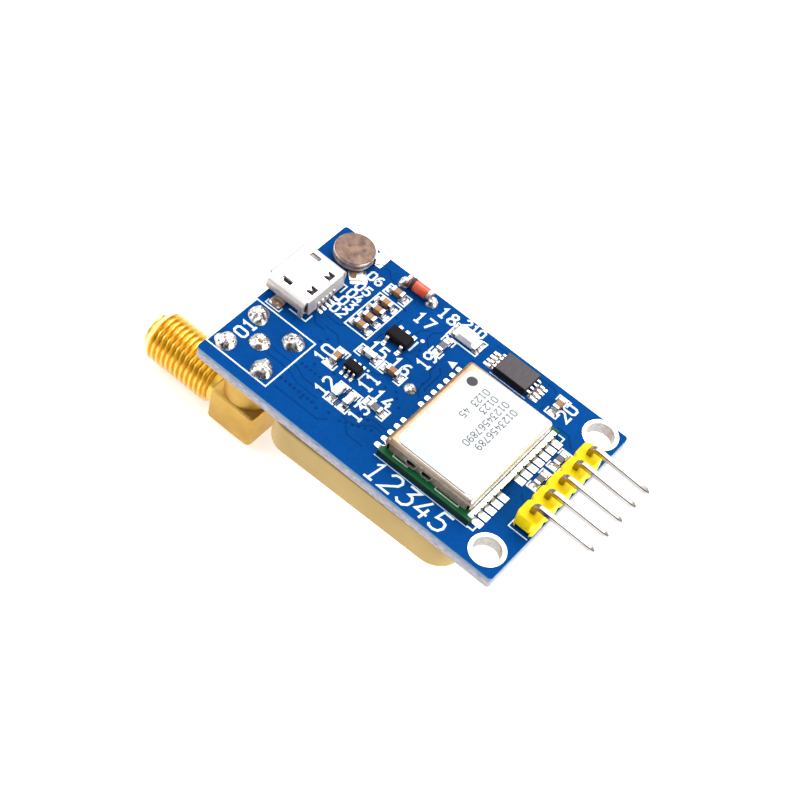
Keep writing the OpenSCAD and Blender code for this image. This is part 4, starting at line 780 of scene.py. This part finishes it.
FLAT = Matrix.Identity(4)
can = bmesh.new()
rings = []
for inset, sense in ((CAN_WALL, -1), (0.0, 1)):
    r = CAN_R - inset
    part = [rounded(CAN_W - 2 * inset, CAN_L - 2 * inset, r, 0.0)]
    for i in range(7):
        a = math.pi / 2 * i / 6
        shrink = 2 * inset + 2 * r * (1 - math.cos(a))
        z = CAN_H - inset - r + r * math.sin(a)
        part.append(rounded(CAN_W - shrink, CAN_L - shrink, max(r * math.cos(a), 0.02), z))
    rings += part if sense > 0 else part[::-1]
loft(can, FLAT, rings)
VENT_W, VENT_H, VENT_Z, VENT_R = 1.3, 0.62, 0.48, 0.28
SEAM_W, SEAM_Z, SEAM_IN = 0.26, 0.42, 0.3
cutters = bmesh.new()
for y in (-CAN_L / 2, CAN_L / 2):
    for x in VENTS:
        slab(cutters, shift(x, y, VENT_Z) @ Matrix.Rotation(math.pi / 2, 4, "X"),
             VENT_W, VENT_H, -0.55, 0.55, VENT_R, 0.02)
    for x in (-CAN_W / 2 + CAN_R, CAN_W / 2 - SEAM_IN):
        slab(cutters, shift(x, y, SEAM_Z), SEAM_W, 1.1, -0.5, 0.5, 0.1, 0.05, 2)
can = cut(can, cutters)
bmesh.ops.transform(can, matrix=at(CAN_U, CAN_V, RX_TOP), verts=can.verts)
piece("receiver_can", can, nickel, "shield_metal", "receiver_shield")

# Satin label paper: nearly white, with a short fibre of 0.3 mm, and a black spot at pin 1.
paper = mottled("satin_label_paper", {"Roughness": 0.5}, 0.3, "#CCD1D2", "#DEE3E4", 4.0, (0.08, 0.00003))
LABEL_U, LABEL_V, LABEL_W, LABEL_L, LABEL_R = 28.13, 11.21, 10.1, 13.05, 0.9
LABEL_Z = RX_TOP + CAN_H
PRINT_Z = LABEL_Z + 0.06
bm = bmesh.new()
slab(bm, at(LABEL_U, LABEL_V), LABEL_W, LABEL_L, LABEL_Z, PRINT_Z, LABEL_R, 0.025)
piece("label_paper", bm, paper, "label_paper", "receiver_label")

# Thermal print on the label: grey-black dots that ran together, in rows of plain digits.
toner = mottled("thermal_print", {"Roughness": 0.6}, 0.12, "#1C1E22", "#4A4E54")
bm = bmesh.new()
PRINT_H, PRINT_SIZE, PRINT_STROKE, SPOT_R = 0.006, 0.78, 0.085, 0.62
for digits, u, v in (("0123456789", 29.45, 16.6), ("01234567890", 28.2, 16.8), ("0123", 26.95, 16.5),
                     ("0123 45", 25.75, 16.6)):
    write(bm, at(u, v, PRINT_Z, -90), digits, PRINT_SIZE, PRINT_STROKE, PRINT_H)
turned(bm, at(24.2, 16.4, PRINT_Z), [(SPOT_R, 0), (SPOT_R, PRINT_H)], 40)
# A dark line along the label's near edge: a painted shadow of the edge.
stroke(bm, at(LABEL_U, 4.66, LABEL_Z - 0.01), [(-4.2, 0), (4.2, 0)], 0.07, 0.03)
piece("label_print_and_edge_shadow", bm, toner, "label_paper")


# USB socket: nickel-plated sheet folded into a tapered tube with bent lips, soldered by two feet.
# A black plastic tongue inside carries five gilt contacts, which come down behind the shell.
plated, tree, shader, coords = start_material("nickel_plated_sheet", {"Metallic": 1.0})
rolled = add(tree, "Mapping", {"Vector": coords, "Scale": per_mm(1.5, 0.07, 0.3)})
streak = add(tree, "TexNoise", {"Vector": rolled, "Scale": 1.0, "Detail": 3.0})
cloud = add(tree, "TexNoise", {"Vector": coords, "Scale": per_mm(1.0), "Detail": 3.0})
tone = add(tree, "Mix", {0: cloud, 6: "#E6E3E0", 7: "#FFFEFC"}, data_type="RGBA")
# Painted shade: faces that turn away from the top take this darker, warmer copy of the plating.
painted_side_shade = add(tree, "Mix", {0: cloud, 6: "#A2948B", 7: "#DCD3CC"}, data_type="RGBA")
facing = add(tree, "SeparateXYZ", {0: add(tree, "NewGeometry").outputs["Normal"]})
off_top = add(tree, "MapRange", {"Value": facing.outputs[2], "From Min": 0.8, "From Max": 0.1})
wear_and_shade = add(tree, "Mix", {0: off_top, 6: tone, 7: painted_side_shade}, data_type="RGBA")
shine = add(tree, "MapRange", {"Value": off_top, "To Min": 1.0, "To Max": 0.35})
dull = add(tree, "MapRange", {"Value": streak, "To Min": 0.26, "To Max": 0.42})
bump = add(tree, "Bump", {"Height": streak, "Strength": 0.08, "Distance": 0.00003})
plug(shader, {"Base Color": wear_and_shade, "Metallic": shine, "Roughness": dull, "Normal": bump})

USB_V, USB_L, USB_H, USB_R, USB_WALL, USB_WAIST = 14.55, 5.2, 2.45, 0.8, 0.3, 1.25
USB_TOP, USB_LOW = 3.7 - USB_R, 2.95 - USB_R


def usb_ring(x, inset):
    """Section of the shell at a depth: upright at the top, drawn in below its waist."""
    r = USB_R - inset
    lean = -math.atan2(USB_TOP - USB_LOW, USB_WAIST - USB_R)
    half = []
    for y, z, first, last in ((USB_LOW, USB_R, -math.pi / 2, lean), (USB_TOP, USB_WAIST, lean, 0.0),
                              (USB_TOP, USB_H - USB_R, 0.0, math.pi / 2)):
        for a in [first + (last - first) * i / 6 for i in range(7)]:
            half.append((y + r * math.cos(a), z + r * math.sin(a)))
    return [(x, y, z) for y, z in half] + [(x, -y, z) for y, z in half[::-1]]


def sweep(bm, matrix, path, w, t, taper=()):
    """A rectangular strip, w wide across Y and t thick, along a path in X and Z. taper scales ends."""
    pts = [Vector(p) for p in path]
    rings = []
    for i, p in enumerate(pts):
        along = (pts[min(i + 1, len(pts) - 1)] - pts[max(i - 1, 0)]).normalized()
        up = Vector((-along.y, along.x))
        s = taper[i] if i < len(taper) else 1.0
        a, b, c = w / 2 * s, t / 2 * s, min(w, t) * 0.12 * s
        section = [(-a + c, -b), (a - c, -b), (a, -b + c), (a, b - c),
                   (a - c, b), (-a + c, b), (-a, b - c), (-a, -b + c)]
        rings.append([(p.x + up.x * k, y, p.y + up.y * k) for y, k in section])
    loft(bm, matrix, rings)


def bent(corners, r, steps=6):
    """Points along a path with its inner corners rounded."""
    pts = [Vector(c) for c in corners]
    path = [pts[0]]
    for before, corner, after in zip(pts, pts[1:], pts[2:]):
        first = corner + (before - corner).normalized() * r
        last = corner + (after - corner).normalized() * r
        for i in range(steps + 1):
            s = i / steps
            path.append(first * (1 - s) ** 2 + corner * 2 * s * (1 - s) + last * s ** 2)
    return path + [pts[-1]]


LATCH_X, LATCH_Y, LATCH_L, LATCH_W, LANCE_Y = 1.72, 2.4, 1.4, 0.66, 1.45
LUG_X, LUG_Y, LUG_L, LUG_W, LUG_T = 1.95, 3.45, 1.5, 2.1, 0.26
shell = bmesh.new()
tube = [usb_ring(x, inset) for x, inset in ((0.0, 0), (USB_L, 0), (USB_L, USB_WALL), (0.0, USB_WALL))]
loft(shell, FLAT, tube, True)
cutters = bmesh.new()
for y in (-1, 1):
    slab(cutters, shift(LATCH_X, LATCH_Y * y, USB_H), LATCH_L, LATCH_W, -0.6, 0.6, 0.05, 0.02, 2)
    window = [(4.05, -0.56), (5.08, -0.56), (5.08, 0.56), (4.05, 0.56), (4.05, 0.3), (4.5, 0.0), (4.05, -0.3)]
    loft(cutters, FLAT, [[(x, LANCE_Y * y + across, z) for x, across in window] for z in (1.8, 3.0)])
shell = cut(shell, cutters)
LIP_T = 0.22
for z, w, rise in ((USB_H - LIP_T / 2, 5.6, 0.25), (LIP_T / 2, 4.2, -0.25)):
    sweep(shell, FLAT, bent([(0.25, z), (-0.08, z), (-0.42, z + rise)], 0.24), w, LIP_T)
for y in (-1, 1):
    slab(shell, shift(LUG_X, LUG_Y * y), LUG_L, LUG_W, 0.0, LUG_T, 0.15, 0.06)
    slab(shell, shift(4.9, 3.54 * y, 0), 0.6, 0.3, 0.0, 1.85, 0.08, 0.05)
# The flap behind is folded down over the contacts.
sweep(shell, FLAT, bent([(4.95, 2.3), (5.2, 2.3), (5.5, 0.5)], 0.2), 6.0, 0.24)
bmesh.ops.transform(shell, matrix=at(0, USB_V), verts=shell.verts)
piece("usb_shell_folded", shell, plated, "steel_shell", "usb_shell")

# Solder on the shell's feet, browned by flux, and on the contacts' feet.
bm, flux_film = bmesh.new(), bmesh.new()
for k, y in enumerate((-1, 1)):
    foot = at(LUG_X, USB_V + 4.05 * y)
    crown(bm, foot @ stretch(1.1, 0.8, 1), 0.6, 0.34, 4.4 + k, 0.15)
    bead(flux_film, foot @ shift(0.1) @ stretch(1.2, 0.8, 1), 0.62, 0.2, 0.37)
for i in range(5):
    slab(bm, at(5.8, USB_V + 0.65 * (i - 2)), 0.9, 0.42, 0, 0.05, 0.08, 0.02, 2)
piece("usb_joints", bm, bright_tin, "solder")
piece("usb_flux", flux_film, rosin, "solder")

# Black liquid-crystal polymer, moulded: dark and half matt with a fine flow grain.
black_polymer = mottled("moulded_black_polymer", {"Roughness": 0.5}, 0.3, "#141415", "#2A2A2C", 3.0)
dress(black_polymer, "usb_tongue")
dress(bright_tin, "usb_contacts")


# Backup cell: a rechargeable button cell with its steel can uppermost, sealed by a dark ring.
# Two spot-welded tabs carry it. The can's top is tinted brown by heat; its side is crimped.
CELL_U, CELL_V, CELL_TOP = 3.45, 21.93, 1.45
tinted, tree, shader, coords = start_material("heat_tinted_stainless", {})
cloud = add(tree, "TexNoise", {"Vector": coords, "Scale": per_mm(1.1), "Detail": 6.0, "Roughness": 0.7})
mottle = add(tree, "MapRange", {"Value": cloud, "From Min": 0.35, "From Max": 0.65})
brown = add(tree, "Mix", {0: mottle, 6: "#584035", 7: "#957360"}, data_type="RGBA")
# Weld marks of about 0.6 mm, burnt darker with soft edges.
top_tone = brown
for x, y in ((-0.69, -0.13), (0.17, 1.2), (0.91, 0.5)):
    mark = at(CELL_U + x, CELL_V + y, CELL_TOP).translation
    away = add(tree, "VectorMath", {0: coords, 1: mark}, operation="DISTANCE")
    burn = add(tree, "MapRange", {"Value": away, "From Min": 0.00042, "From Max": 0.0001,
                                  "To Max": 0.7}, interpolation_type="SMOOTHSTEP")
    top_tone = add(tree, "Mix", {0: burn, 6: top_tone, 7: "#40302A"}, data_type="RGBA")
side_tone = add(tree, "Mix", {0: mottle, 6: "#8C7D72", 7: "#EEE9E4"}, data_type="RGBA")
facing = add(tree, "SeparateXYZ", {0: add(tree, "NewGeometry").outputs["Normal"]})
on_top = add(tree, "MapRange", {"Value": facing.outputs[2], "From Min": 0.55, "From Max": 0.85})
tone = add(tree, "Mix", {0: on_top, 6: side_tone, 7: top_tone}, data_type="RGBA")
shine = add(tree, "MapRange", {"Value": on_top, "To Min": 0.85, "To Max": 0.25})
brushed = add(tree, "Mapping", {"Vector": coords, "Scale": per_mm(0.1, 1.5, 0.5)})
streak = add(tree, "TexNoise", {"Vector": brushed, "Scale": 1.0, "Detail": 3.0})
dull = add(tree, "MapRange", {"Value": streak, "To Min": 0.3, "To Max": 0.5})
bump = add(tree, "Bump", {"Height": cloud, "Strength": 0.2, "Distance": 0.00005})
plug(shader, {"Base Color": tone, "Metallic": shine, "Roughness": dull, "Normal": bump})

CELL = at(CELL_U, CELL_V)
can_profile = [(2.2, 0.4), (2.34, 0.4), (2.4, 0.46), (2.4, 0.72), (2.36, 0.76), (2.27, 0.8), (2.27, 0.98),
               (2.36, 1.03), (2.4, 1.08), (2.4, 1.2)]
can_profile += [(2.15 + 0.25 * math.cos(math.pi / 2 * i / 5), 1.2 + 0.25 * math.sin(math.pi / 2 * i / 5))
                for i in range(1, 6)]
bm = bmesh.new()
turned(bm, CELL, can_profile, 72)
piece("cell_steel_can", bm, tinted, "cell_steel", "cell_can")
# Moulded nylon seal: nearly black.
seal = mottled("moulded_nylon_seal", {"Roughness": 0.6}, 0.4, "#222224", "#3C3C3E")
dress(seal, "cell_gasket")
dress(plated, "cell_lid")
# Tinned sheet: bright on top, with a painted brown shade on its upright faces for the dark surroundings they
# mirror.
tinned, tree, shader, coords = start_material("hot_dipped_tin", {"Metallic": 1.0})
ripple = add(tree, "TexNoise", {"Vector": coords, "Scale": per_mm(0.35), "Detail": 3.0})
bright = add(tree, "Mix", {0: ripple, 6: "#D4D2CF", 7: "#FAF9F7"}, data_type="RGBA")
# Painted shade: this darker, browner copy of the tin's colour goes on upright faces.
stain_and_shade = add(tree, "Mix", {0: ripple, 6: "#5E5148", 7: "#C9C2BB"}, data_type="RGBA")
facing = add(tree, "SeparateXYZ", {0: add(tree, "NewGeometry").outputs["Normal"]})
on_top = add(tree, "MapRange", {"Value": facing.outputs[2], "From Min": 0.2, "From Max": 0.7})
tone = add(tree, "Mix", {0: on_top, 6: stain_and_shade, 7: bright}, data_type="RGBA")
dull = add(tree, "MapRange", {"Value": ripple, "To Min": 0.22, "To Max": 0.45})
bump = add(tree, "Bump", {"Height": ripple, "Strength": 0.15, "Distance": 0.00008})
plug(shader, {"Base Color": tone, "Roughness": dull, "Normal": bump})
bm = bmesh.new()
TAB_W, TAB_T, LOWER_TURN, SIDE_TURN = 1.7, 0.15, -44, 40
lower_tab = at(CELL_U, CELL_V, 0, LOWER_TURN)
slab(bm, lower_tab @ shift(1.24), 4.52, TAB_W, 0.0, TAB_T, 0.2, 0.05)
piece("cell_lower_tab", bm, tinned, "tinned_metal", "cell_lid_tab")
bm = bmesh.new()
bead(bm, lower_tab @ shift(2.75, -0.35, 0) @ stretch(1.3, 1, 1), 0.52, 0.1, 0.17)
piece("cell_flux", bm, rosin, "solder")
bm = bmesh.new()
arc = [math.radians(-20.5 + 41 * i / 10) for i in range(11)]
TAB_IN, TAB_OUT, TAB_H = 2.41, 2.55, 1.1
section = ((0.0, TAB_IN), (0.0, TAB_OUT), (TAB_H, TAB_OUT), (TAB_H, TAB_IN))
wall = [[(r * math.cos(a), r * math.sin(a), z) for z, r in section] for a in arc]
side_tab = at(CELL_U, CELL_V, 0, SIDE_TURN)
loft(bm, side_tab, wall)
slab(bm, side_tab @ shift(3.02), 0.95, TAB_W, 0.0, TAB_T, 0.15, 0.05)
piece("cell_side_tab", bm, tinned, "tinned_metal", "cell_can_tab")
bm = bmesh.new()
slab(bm, at(5.75, 20.0, 0, LOWER_TURN), 1.9, 2.0, 0.0, 0.04, 0.1, 0.02, 2)
slab(bm, at(5.85, 23.75, 0, 0), 1.5, 1.9, 0.0, 0.04, 0.1, 0.02, 2)
piece("cell_pads", bm, solder, "solder")


# Chip parts: fired ceramic bricks 1.6 mm long with tinned ends, reflowed onto their pads.
# Capacitors are brown, inductors white, and resistors carry a dark glaze on white alumina.
CAPACITORS = [(10.35, 14.925 + 1.45 * i, 0) for i in range(4)]
CAPACITORS += [(10.35, 21.35, 0), (32.1, 22.4, 90), (11.3, 9.7, 90), (16.75, 12.6, 0)]
PALE_CAPACITOR = (14.35, 6.3, 90)
INDUCTORS = [(13.55, 12.6, 0), (15.85, 6.3, 90)]
RESISTORS = [(36.38, 13.3, 90), (36.38, 16.85, 90), (18.4, 7.7, 0), (18.3, 19.45, 90)]
CORE_L, CORE_W, END_L, END_W = 1.52, 0.72, 0.4, 0.8
# Section of a fillet on a part 0.8 mm high, out from its end at FOOT_X and up from FOOT_Z.
FOOT_X, FOOT_Z, FULL_H = 0.79, 0.03, 0.8
CHIP_FILLET = [(FOOT_X, FOOT_Z), (1.3, FOOT_Z), (1.3, 0.05), (1.1, 0.1), (0.93, 0.22), (0.84, 0.4),
               (0.8, 0.6), (FOOT_X, 0.6)]

# Barium titanate: brown, even and half matt, a little different from part to part.
titanate, tree, shader, coords = start_material("fired_barium_titanate", {"Roughness": 0.45})
batch = add(tree, "TexNoise", {"Vector": coords, "Scale": per_mm(2.2), "Detail": 0.0})
grain = add(tree, "TexNoise", {"Vector": coords, "Scale": per_mm(0.15), "Detail": 2.0})
tone = add(tree, "Mix", {0: batch, 6: "#7A4A20", 7: "#C9995F"}, data_type="RGBA")
fine = add(tree, "Mix", {0: grain, 6: tone, 7: "#A06A36"}, data_type="RGBA")
plug(shader, {"Base Color": fine})
# Alumina: cream white, dense and slightly waxy.
alumina = mottled("fired_alumina", {"Roughness": 0.4}, 0.2, "#E2DED6", "#F8F6F2")
# Overglaze: violet-black glass, softly pooled.
glaze = mottled("fired_resistor_glaze", {"Roughness": 0.3}, 0.4, "#3B3742", "#6E6874")

chip_solder, pale = bmesh.new(), bmesh.new()
for kind, spots, height, ceramic_of, slot in (
        ("capacitor", CAPACITORS + [PALE_CAPACITOR], 0.8, titanate, "brown_ceramic"),
        ("inductor", INDUCTORS, 0.75, alumina, "white_ceramic"),
        ("resistor", RESISTORS, 0.45, alumina, "white_ceramic")):
    cores, ends = bmesh.new(), bmesh.new()
    for place in spots:
        spot = at(place[0], place[1], 0, place[2])
        slab(pale if place == PALE_CAPACITOR else cores, spot, CORE_L, CORE_W, 0.04, height - 0.04,
             0.05, 0.05, 2)
        for side in (-1, 1):
            hand = spot @ stretch(side)
            slab(ends, hand @ shift(0.8 - END_L / 2), END_L, END_W, 0.0, height, 0.08, 0.07, 3)
            slab(chip_solder, hand @ shift(0.92), 0.95, 0.92, 0.0, 0.04, 0.06, 0.02, 2)
            rings = []
            for y, s in ((-0.42, 0.5), (-0.3, 0.95), (0.3, 0.95), (0.42, 0.5)):
                rise = s * height / FULL_H
                rings.append([(FOOT_X + (x - FOOT_X) * s, y, FOOT_Z + (z - FOOT_Z) * rise)
                              for x, z in CHIP_FILLET])
            loft(chip_solder, hand, rings)
    piece(kind + "_cores", cores, ceramic_of, slot, kind + "_bodies")
    piece(kind + "_tinned_ends", ends, tinned, "tinned_metal", kind + "_ends")
piece("pale_capacitor_core", pale, alumina, "white_ceramic")
piece("chip_fillets", chip_solder, solder, "solder")
bm = bmesh.new()
for u, v, turn in RESISTORS:
    slab(bm, at(u, v, 0, turn), 0.82, 0.74, 0.4, 0.46, 0.06, 0.025, 2)
piece("resistor_glaze_coats", bm, glaze, "dark_glaze", "resistor_glazes")


# Glass diode: a sleeve of orange-red glass fused round a chip between two tinned studs.
# A black band is printed at the cathode end. It lies on its pads and is soldered at both ends.
DIODE_U, DIODE_V, DIODE_Z = 11.73, 23.4, 0.75
DIODE = at(DIODE_U, DIODE_V, DIODE_Z) @ Matrix.Rotation(math.pi / 2, 4, "Y")
red_glass = mottled(
    "fused_orange_glass", {"Roughness": 0.12, "IOR": 1.52, "Coat Weight": 0.4},
    0.9, "#C8300F", "#F0683C")
bm = bmesh.new()
turned(bm, DIODE, [(0.6, -1.25), (0.68, -1.2), (0.71, -1.1), (0.71, 1.1), (0.68, 1.2), (0.6, 1.25)], 40)
piece("diode_sleeve", bm, red_glass, "orange_glass", "diode_glass")
bm = bmesh.new()
turned(bm, DIODE, [(0.712, -1.08), (0.722, -1.06), (0.722, -0.62), (0.712, -0.6)], 40)
piece("diode_band", bm, black_polymer, "dark_glaze")
bm = bmesh.new()
for side in (-1, 1):
    turned(bm, DIODE @ stretch(1, 1, side),
           [(0.66, 1.25), (0.75, 1.28), (0.75, 1.6), (0.72, 1.7), (0.6, 1.75)], 40)
piece("diode_studs", bm, tinned, "tinned_metal", "diode_ends")
bm = bmesh.new()
for k, side in enumerate((-1, 1)):
    crown(bm, at(DIODE_U + 1.95 * side, DIODE_V - 0.05) @ stretch(0.95, 1.05, 1), 0.8, 0.62, 6.2 + k, 0.12)
piece("diode_joints", bm, solder, "solder")


# Moulded parts: regulator, amplifier and memory in epoxy, each with bent tinned leads.
# The moulds leave a drafted body with a matt spark-eroded skin; the memory's has greyed.
epoxy = mottled(
    "spark_eroded_epoxy", {"Roughness": 0.6, "Specular IOR Level": 0.1},
    0.18, "#0A090B", "#221F21", 3.0, (0.3, 0.00005))
# Greyed epoxy: the same compound, scoured pale along its length on top.
grey_epoxy, tree, shader, coords = start_material(
    "greyed_epoxy", {"Roughness": 0.55, "Specular IOR Level": 0.3})
streaks = add(tree, "Mapping", {"Vector": coords, "Scale": per_mm(0.12, 1.2, 0.4)})
streak = add(tree, "TexNoise", {"Vector": streaks, "Scale": 1.0, "Detail": 3.0})
tone = add(tree, "Mix", {0: streak, 6: "#3A363A", 7: "#635C62"}, data_type="RGBA")
facing = add(tree, "SeparateXYZ", {0: add(tree, "NewGeometry").outputs["Normal"]})
on_top = add(tree, "MapRange", {"Value": facing.outputs[2], "From Min": 0.4, "From Max": 0.8})
wear_and_shade = add(tree, "Mix", {0: on_top, 6: "#1B1817", 7: tone}, data_type="RGBA")
bump = add(tree, "Bump", {"Height": streak, "Strength": 0.2, "Distance": 0.00004})
plug(shader, {"Base Color": wear_and_shade, "Normal": bump})


def moulded(bm, matrix, l, w, h, draft=0.09, lift=0.1):
    """A drafted body, widest at its parting line, with its edges just broken."""
    rings = []
    for share, z in ((1.0, 0.0), (0.0, h / 2 - 0.02), (0.0, h / 2 + 0.02), (0.9, h - 0.06),
                     (1.2, h - 0.015), (1.7, h)):
        rings.append(rounded(l - 2 * draft * share, w - 2 * draft * share, 0.06, lift + z, 3))
    loft(bm, matrix, rings)


MEMORY_U, MEMORY_V = 26.4, 22.2
MEMORY_STEPS = (-0.975, -0.325, 0.325, 0.975)
LEAD_T, LEAD_LOW = 0.15, 0.085
moulded_solder = bmesh.new()
for name, u, v, turn, size, span, far, near, lead_w, skin_of, slot in (
        ("regulator", 14.45, 16.55, 0, (2.9, 1.6, 1.0), 2.9, (-0.95, 0, 0.95), (-0.95, 0.95), 0.4,
         epoxy, "black_mould"),
        ("amplifier", 13.55, 9.75, 0, (2.0, 1.25, 0.9), 2.1, (-0.65, 0, 0.65), (-0.65, 0, 0.65), 0.25,
         epoxy, "black_mould"),
        ("memory", MEMORY_U, MEMORY_V, 90, (3.0, 4.4, 1.0), 6.4, MEMORY_STEPS, MEMORY_STEPS, 0.28,
         grey_epoxy, "grey_mould")):
    body, leads = bmesh.new(), bmesh.new()
    spot = at(u, v, 0, turn)
    moulded(body, spot, *size)
    reach = (span - size[1]) / 2
    mid = 0.1 + size[2] / 2
    for side, steps in ((1, far), (-1, near)):
        for x in steps:
            hand = spot @ shift(x) @ Matrix.Rotation(side * math.pi / 2, 4, "Z")
            base = size[1] / 2
            knee = base + reach * 0.42
            corners = [(base - 0.15, mid), (knee - 0.06, mid),
                       (knee + 0.08, LEAD_LOW), (base + reach, LEAD_LOW)]
            sweep(leads, hand, bent(corners, min(0.12, reach * 0.2), 4), lead_w, LEAD_T)
            slab(moulded_solder, hand @ shift(base + reach * 0.85),
                 reach * 0.9 + 0.35, lead_w + 0.12, 0.0, 0.05, 0.05, 0.02, 2)
    piece(name + "_mould", body, skin_of, slot, name + "_body")
    piece(name + "_bent_leads", leads, tinned, "tinned_metal", name + "_leads")
piece("lead_fillets", moulded_solder, solder, "solder")
bm = bmesh.new()
for side in (-1, 1):
    slab(bm, at(MEMORY_U + 2.85 * side, MEMORY_V), 0.95, 2.5, 0.0, 0.03, 0.2, 0.01, 3)
piece("memory_flux", bm, rosin, "solder")


# Indicator lamp: a white base with tinned ends under a block of cast resin.
# The resin is clear but milky against the white base, with a yellow chip faint in the middle.
resin = mottled(
    "cast_lamp_resin", {"Roughness": 0.2, "IOR": 1.5, "Subsurface Weight": 0.2, "Subsurface Scale": 0.0004},
    0.6, "#EDEBE2", "#FCFBF7")
LAMP = at(19.6, 22.25)
BASE_L, BASE_TOP, LAMP_W = 3.12, 0.46, 1.52
bm = bmesh.new()
slab(bm, LAMP, BASE_L, LAMP_W, 0.04, BASE_TOP, 0.05, 0.03, 2)
piece("lamp_white_base", bm, alumina, "white_ceramic", "lamp_base")
bm = bmesh.new()
loft(bm, LAMP, [rounded(2.0, LAMP_W, 0.1, BASE_TOP), rounded(1.86, 1.5, 0.12, 1.0),
                rounded(1.76, 1.4, 0.12, 1.06)])
piece("lamp_resin_block", bm, resin, "lamp_resin", "lamp_lens")
bm = bmesh.new()
for side in (-1, 1):
    slab(bm, LAMP @ shift(1.4 * side), 0.4, 1.6, 0.0, 0.5, 0.06, 0.05, 2)
piece("lamp_tinned_ends", bm, tinned, "tinned_metal", "lamp_ends")
bm = bmesh.new()
for side in (-1, 1):
    slab(bm, LAMP @ shift(1.65 * side), 0.8, 1.7, 0.0, 0.04, 0.08, 0.02, 2)
    profile = [(1.59, 0.03), (1.98, 0.03), (1.98, 0.06), (1.8, 0.1), (1.67, 0.22), (1.6, 0.4), (1.59, 0.4)]
    loft(bm, LAMP @ stretch(side), [[(x, y, z) for x, z in profile] for y in (-0.75, 0.75)])
piece("lamp_fillets", bm, solder, "solder")


# Pin header: five octagonal segments of yellow nylon moulded as one strip, on square tinned pins.
# The pins are bent over the housing towards the board's end and pointed at their tips.
nylon = mottled(
    "moulded_yellow_nylon", {"Roughness": 0.42, "Specular IOR Level": 0.12, "Subsurface Weight": 0.15,
                             "Subsurface Scale": 0.0006},
    0.9, "#F6CE00", "#FFE800", 4.0, (0.15, 0.00005))
HEADER_U, HEADER_V, PIN_STEP = 38.7, 13.05, 2.54
HOUSING_HALF, SEGMENT_HALF, CORNER = 1.25, 1.27, 0.45
outline = []
for i in range(5):
    y = (i - 2) * PIN_STEP
    outline += [(HOUSING_HALF - CORNER, y - SEGMENT_HALF), (HOUSING_HALF, y - SEGMENT_HALF + CORNER),
                (HOUSING_HALF, y + SEGMENT_HALF - CORNER), (HOUSING_HALF - CORNER, y + SEGMENT_HALF)]
side_points = [p for k, p in enumerate(outline) if k % 4 or k == 0]
ring = side_points + [(-x, y) for x, y in side_points[::-1]]
HOUSING_H, BREAK = 2.5, 0.1
STAND_OFF, RIB_IN, RIB_OUT, RIB_HALF = 0.65, 0.9, 1.0, 6.2
bm = bmesh.new()
rings = []
for across, along, z in ((0.94, 0.994, STAND_OFF), (1.0, 1.0, STAND_OFF + BREAK),
                         (1.0, 1.0, HOUSING_H - BREAK), (0.94, 0.994, HOUSING_H)):
    rings.append([(x * across, y * along, z) for x, y in ring])
loft(bm, at(HEADER_U, HEADER_V), rings)
rib = [(max(x, RIB_OUT) * 0.998, max(-RIB_HALF, min(RIB_HALF, y))) for x, y in side_points]
rib += [(RIB_IN, RIB_HALF), (RIB_IN, -RIB_HALF)]
for side in (-1, 1):
    loft(bm, at(HEADER_U, HEADER_V), [[(x * side, y, z) for x, y in rib] for z in (0.0, STAND_OFF + 0.2)])
piece("header_nylon", bm, nylon, "yellow_plastic", "header_housing")

# Drawn pin wire: smooth bright tin that mirrors the yellow nylon, with a painted brown reflection near the
# bends.
pin_wire, tree, shader, coords = start_material("tinned_pin_wire", {"Metallic": 1.0})
drawn = add(tree, "Mapping", {"Vector": coords, "Scale": per_mm(3.0, 0.1, 0.1)})
ripple = add(tree, "TexNoise", {"Vector": drawn, "Scale": 1.0, "Detail": 3.0})
tone = add(tree, "Mix", {0: ripple, 6: "#948D88", 7: "#DCD8D5"}, data_type="RGBA")
place = add(tree, "SeparateXYZ", {0: coords})
# Painted reflection: the pins turn brown towards their bends.
painted_bend_reflection = add(tree, "MapRange", {"Value": place.outputs[0], "From Min": 0.0042, "From Max": 0.0014,
                                  "To Max": 0.65})
wear_and_shade = add(tree, "Mix", {0: painted_bend_reflection, 6: tone, 7: "#86603A"}, data_type="RGBA")
dull = add(tree, "MapRange", {"Value": ripple, "To Min": 0.1, "To Max": 0.24})
plug(shader, {"Base Color": wear_and_shade, "Roughness": dull})
PIN_W, RUN_Z, TIP_X, TAIL_Z = 0.64, 3.8, 7.5, -2.8
TIP_L, TAIL_POINT, BEND_R = 0.55, 0.4, 0.92
# Handling left the runs sloping down towards their tips, the far pin's most.
TIP_DROPS = (0.2, 0.24, 0.36, 0.43, 0.54)
bm = bmesh.new()
for i, drop in enumerate(TIP_DROPS):
    tip = Vector((TIP_X, RUN_Z - drop))
    path = bent([(0.0, TAIL_Z), (0.0, RUN_Z), tip.lerp(Vector((0.0, RUN_Z)), TIP_L / TIP_X)], BEND_R, 8)
    path = [path[0], Vector((0, TAIL_Z + TAIL_POINT))] + path[1:] + [tip]
    taper = [0.55] + [1.0] * (len(path) - 2) + [0.3]
    sweep(bm, at(HEADER_U, HEADER_V + (i - 2) * PIN_STEP), path, PIN_W, PIN_W, taper)
piece("header_bent_pins", bm, pin_wire, "tinned_metal", "header_pins")


# Parts under the receiver's can: a moulded chip, an oscillator in a metal case, a ceramic filter and
# chip capacitors, all reflowed onto the green board. The closed can hides them.
dress(black_polymer, "receiver_chip")
dress(plated, "receiver_oscillator")
dress(alumina, "receiver_filter")
dress(titanate, "receiver_passives")
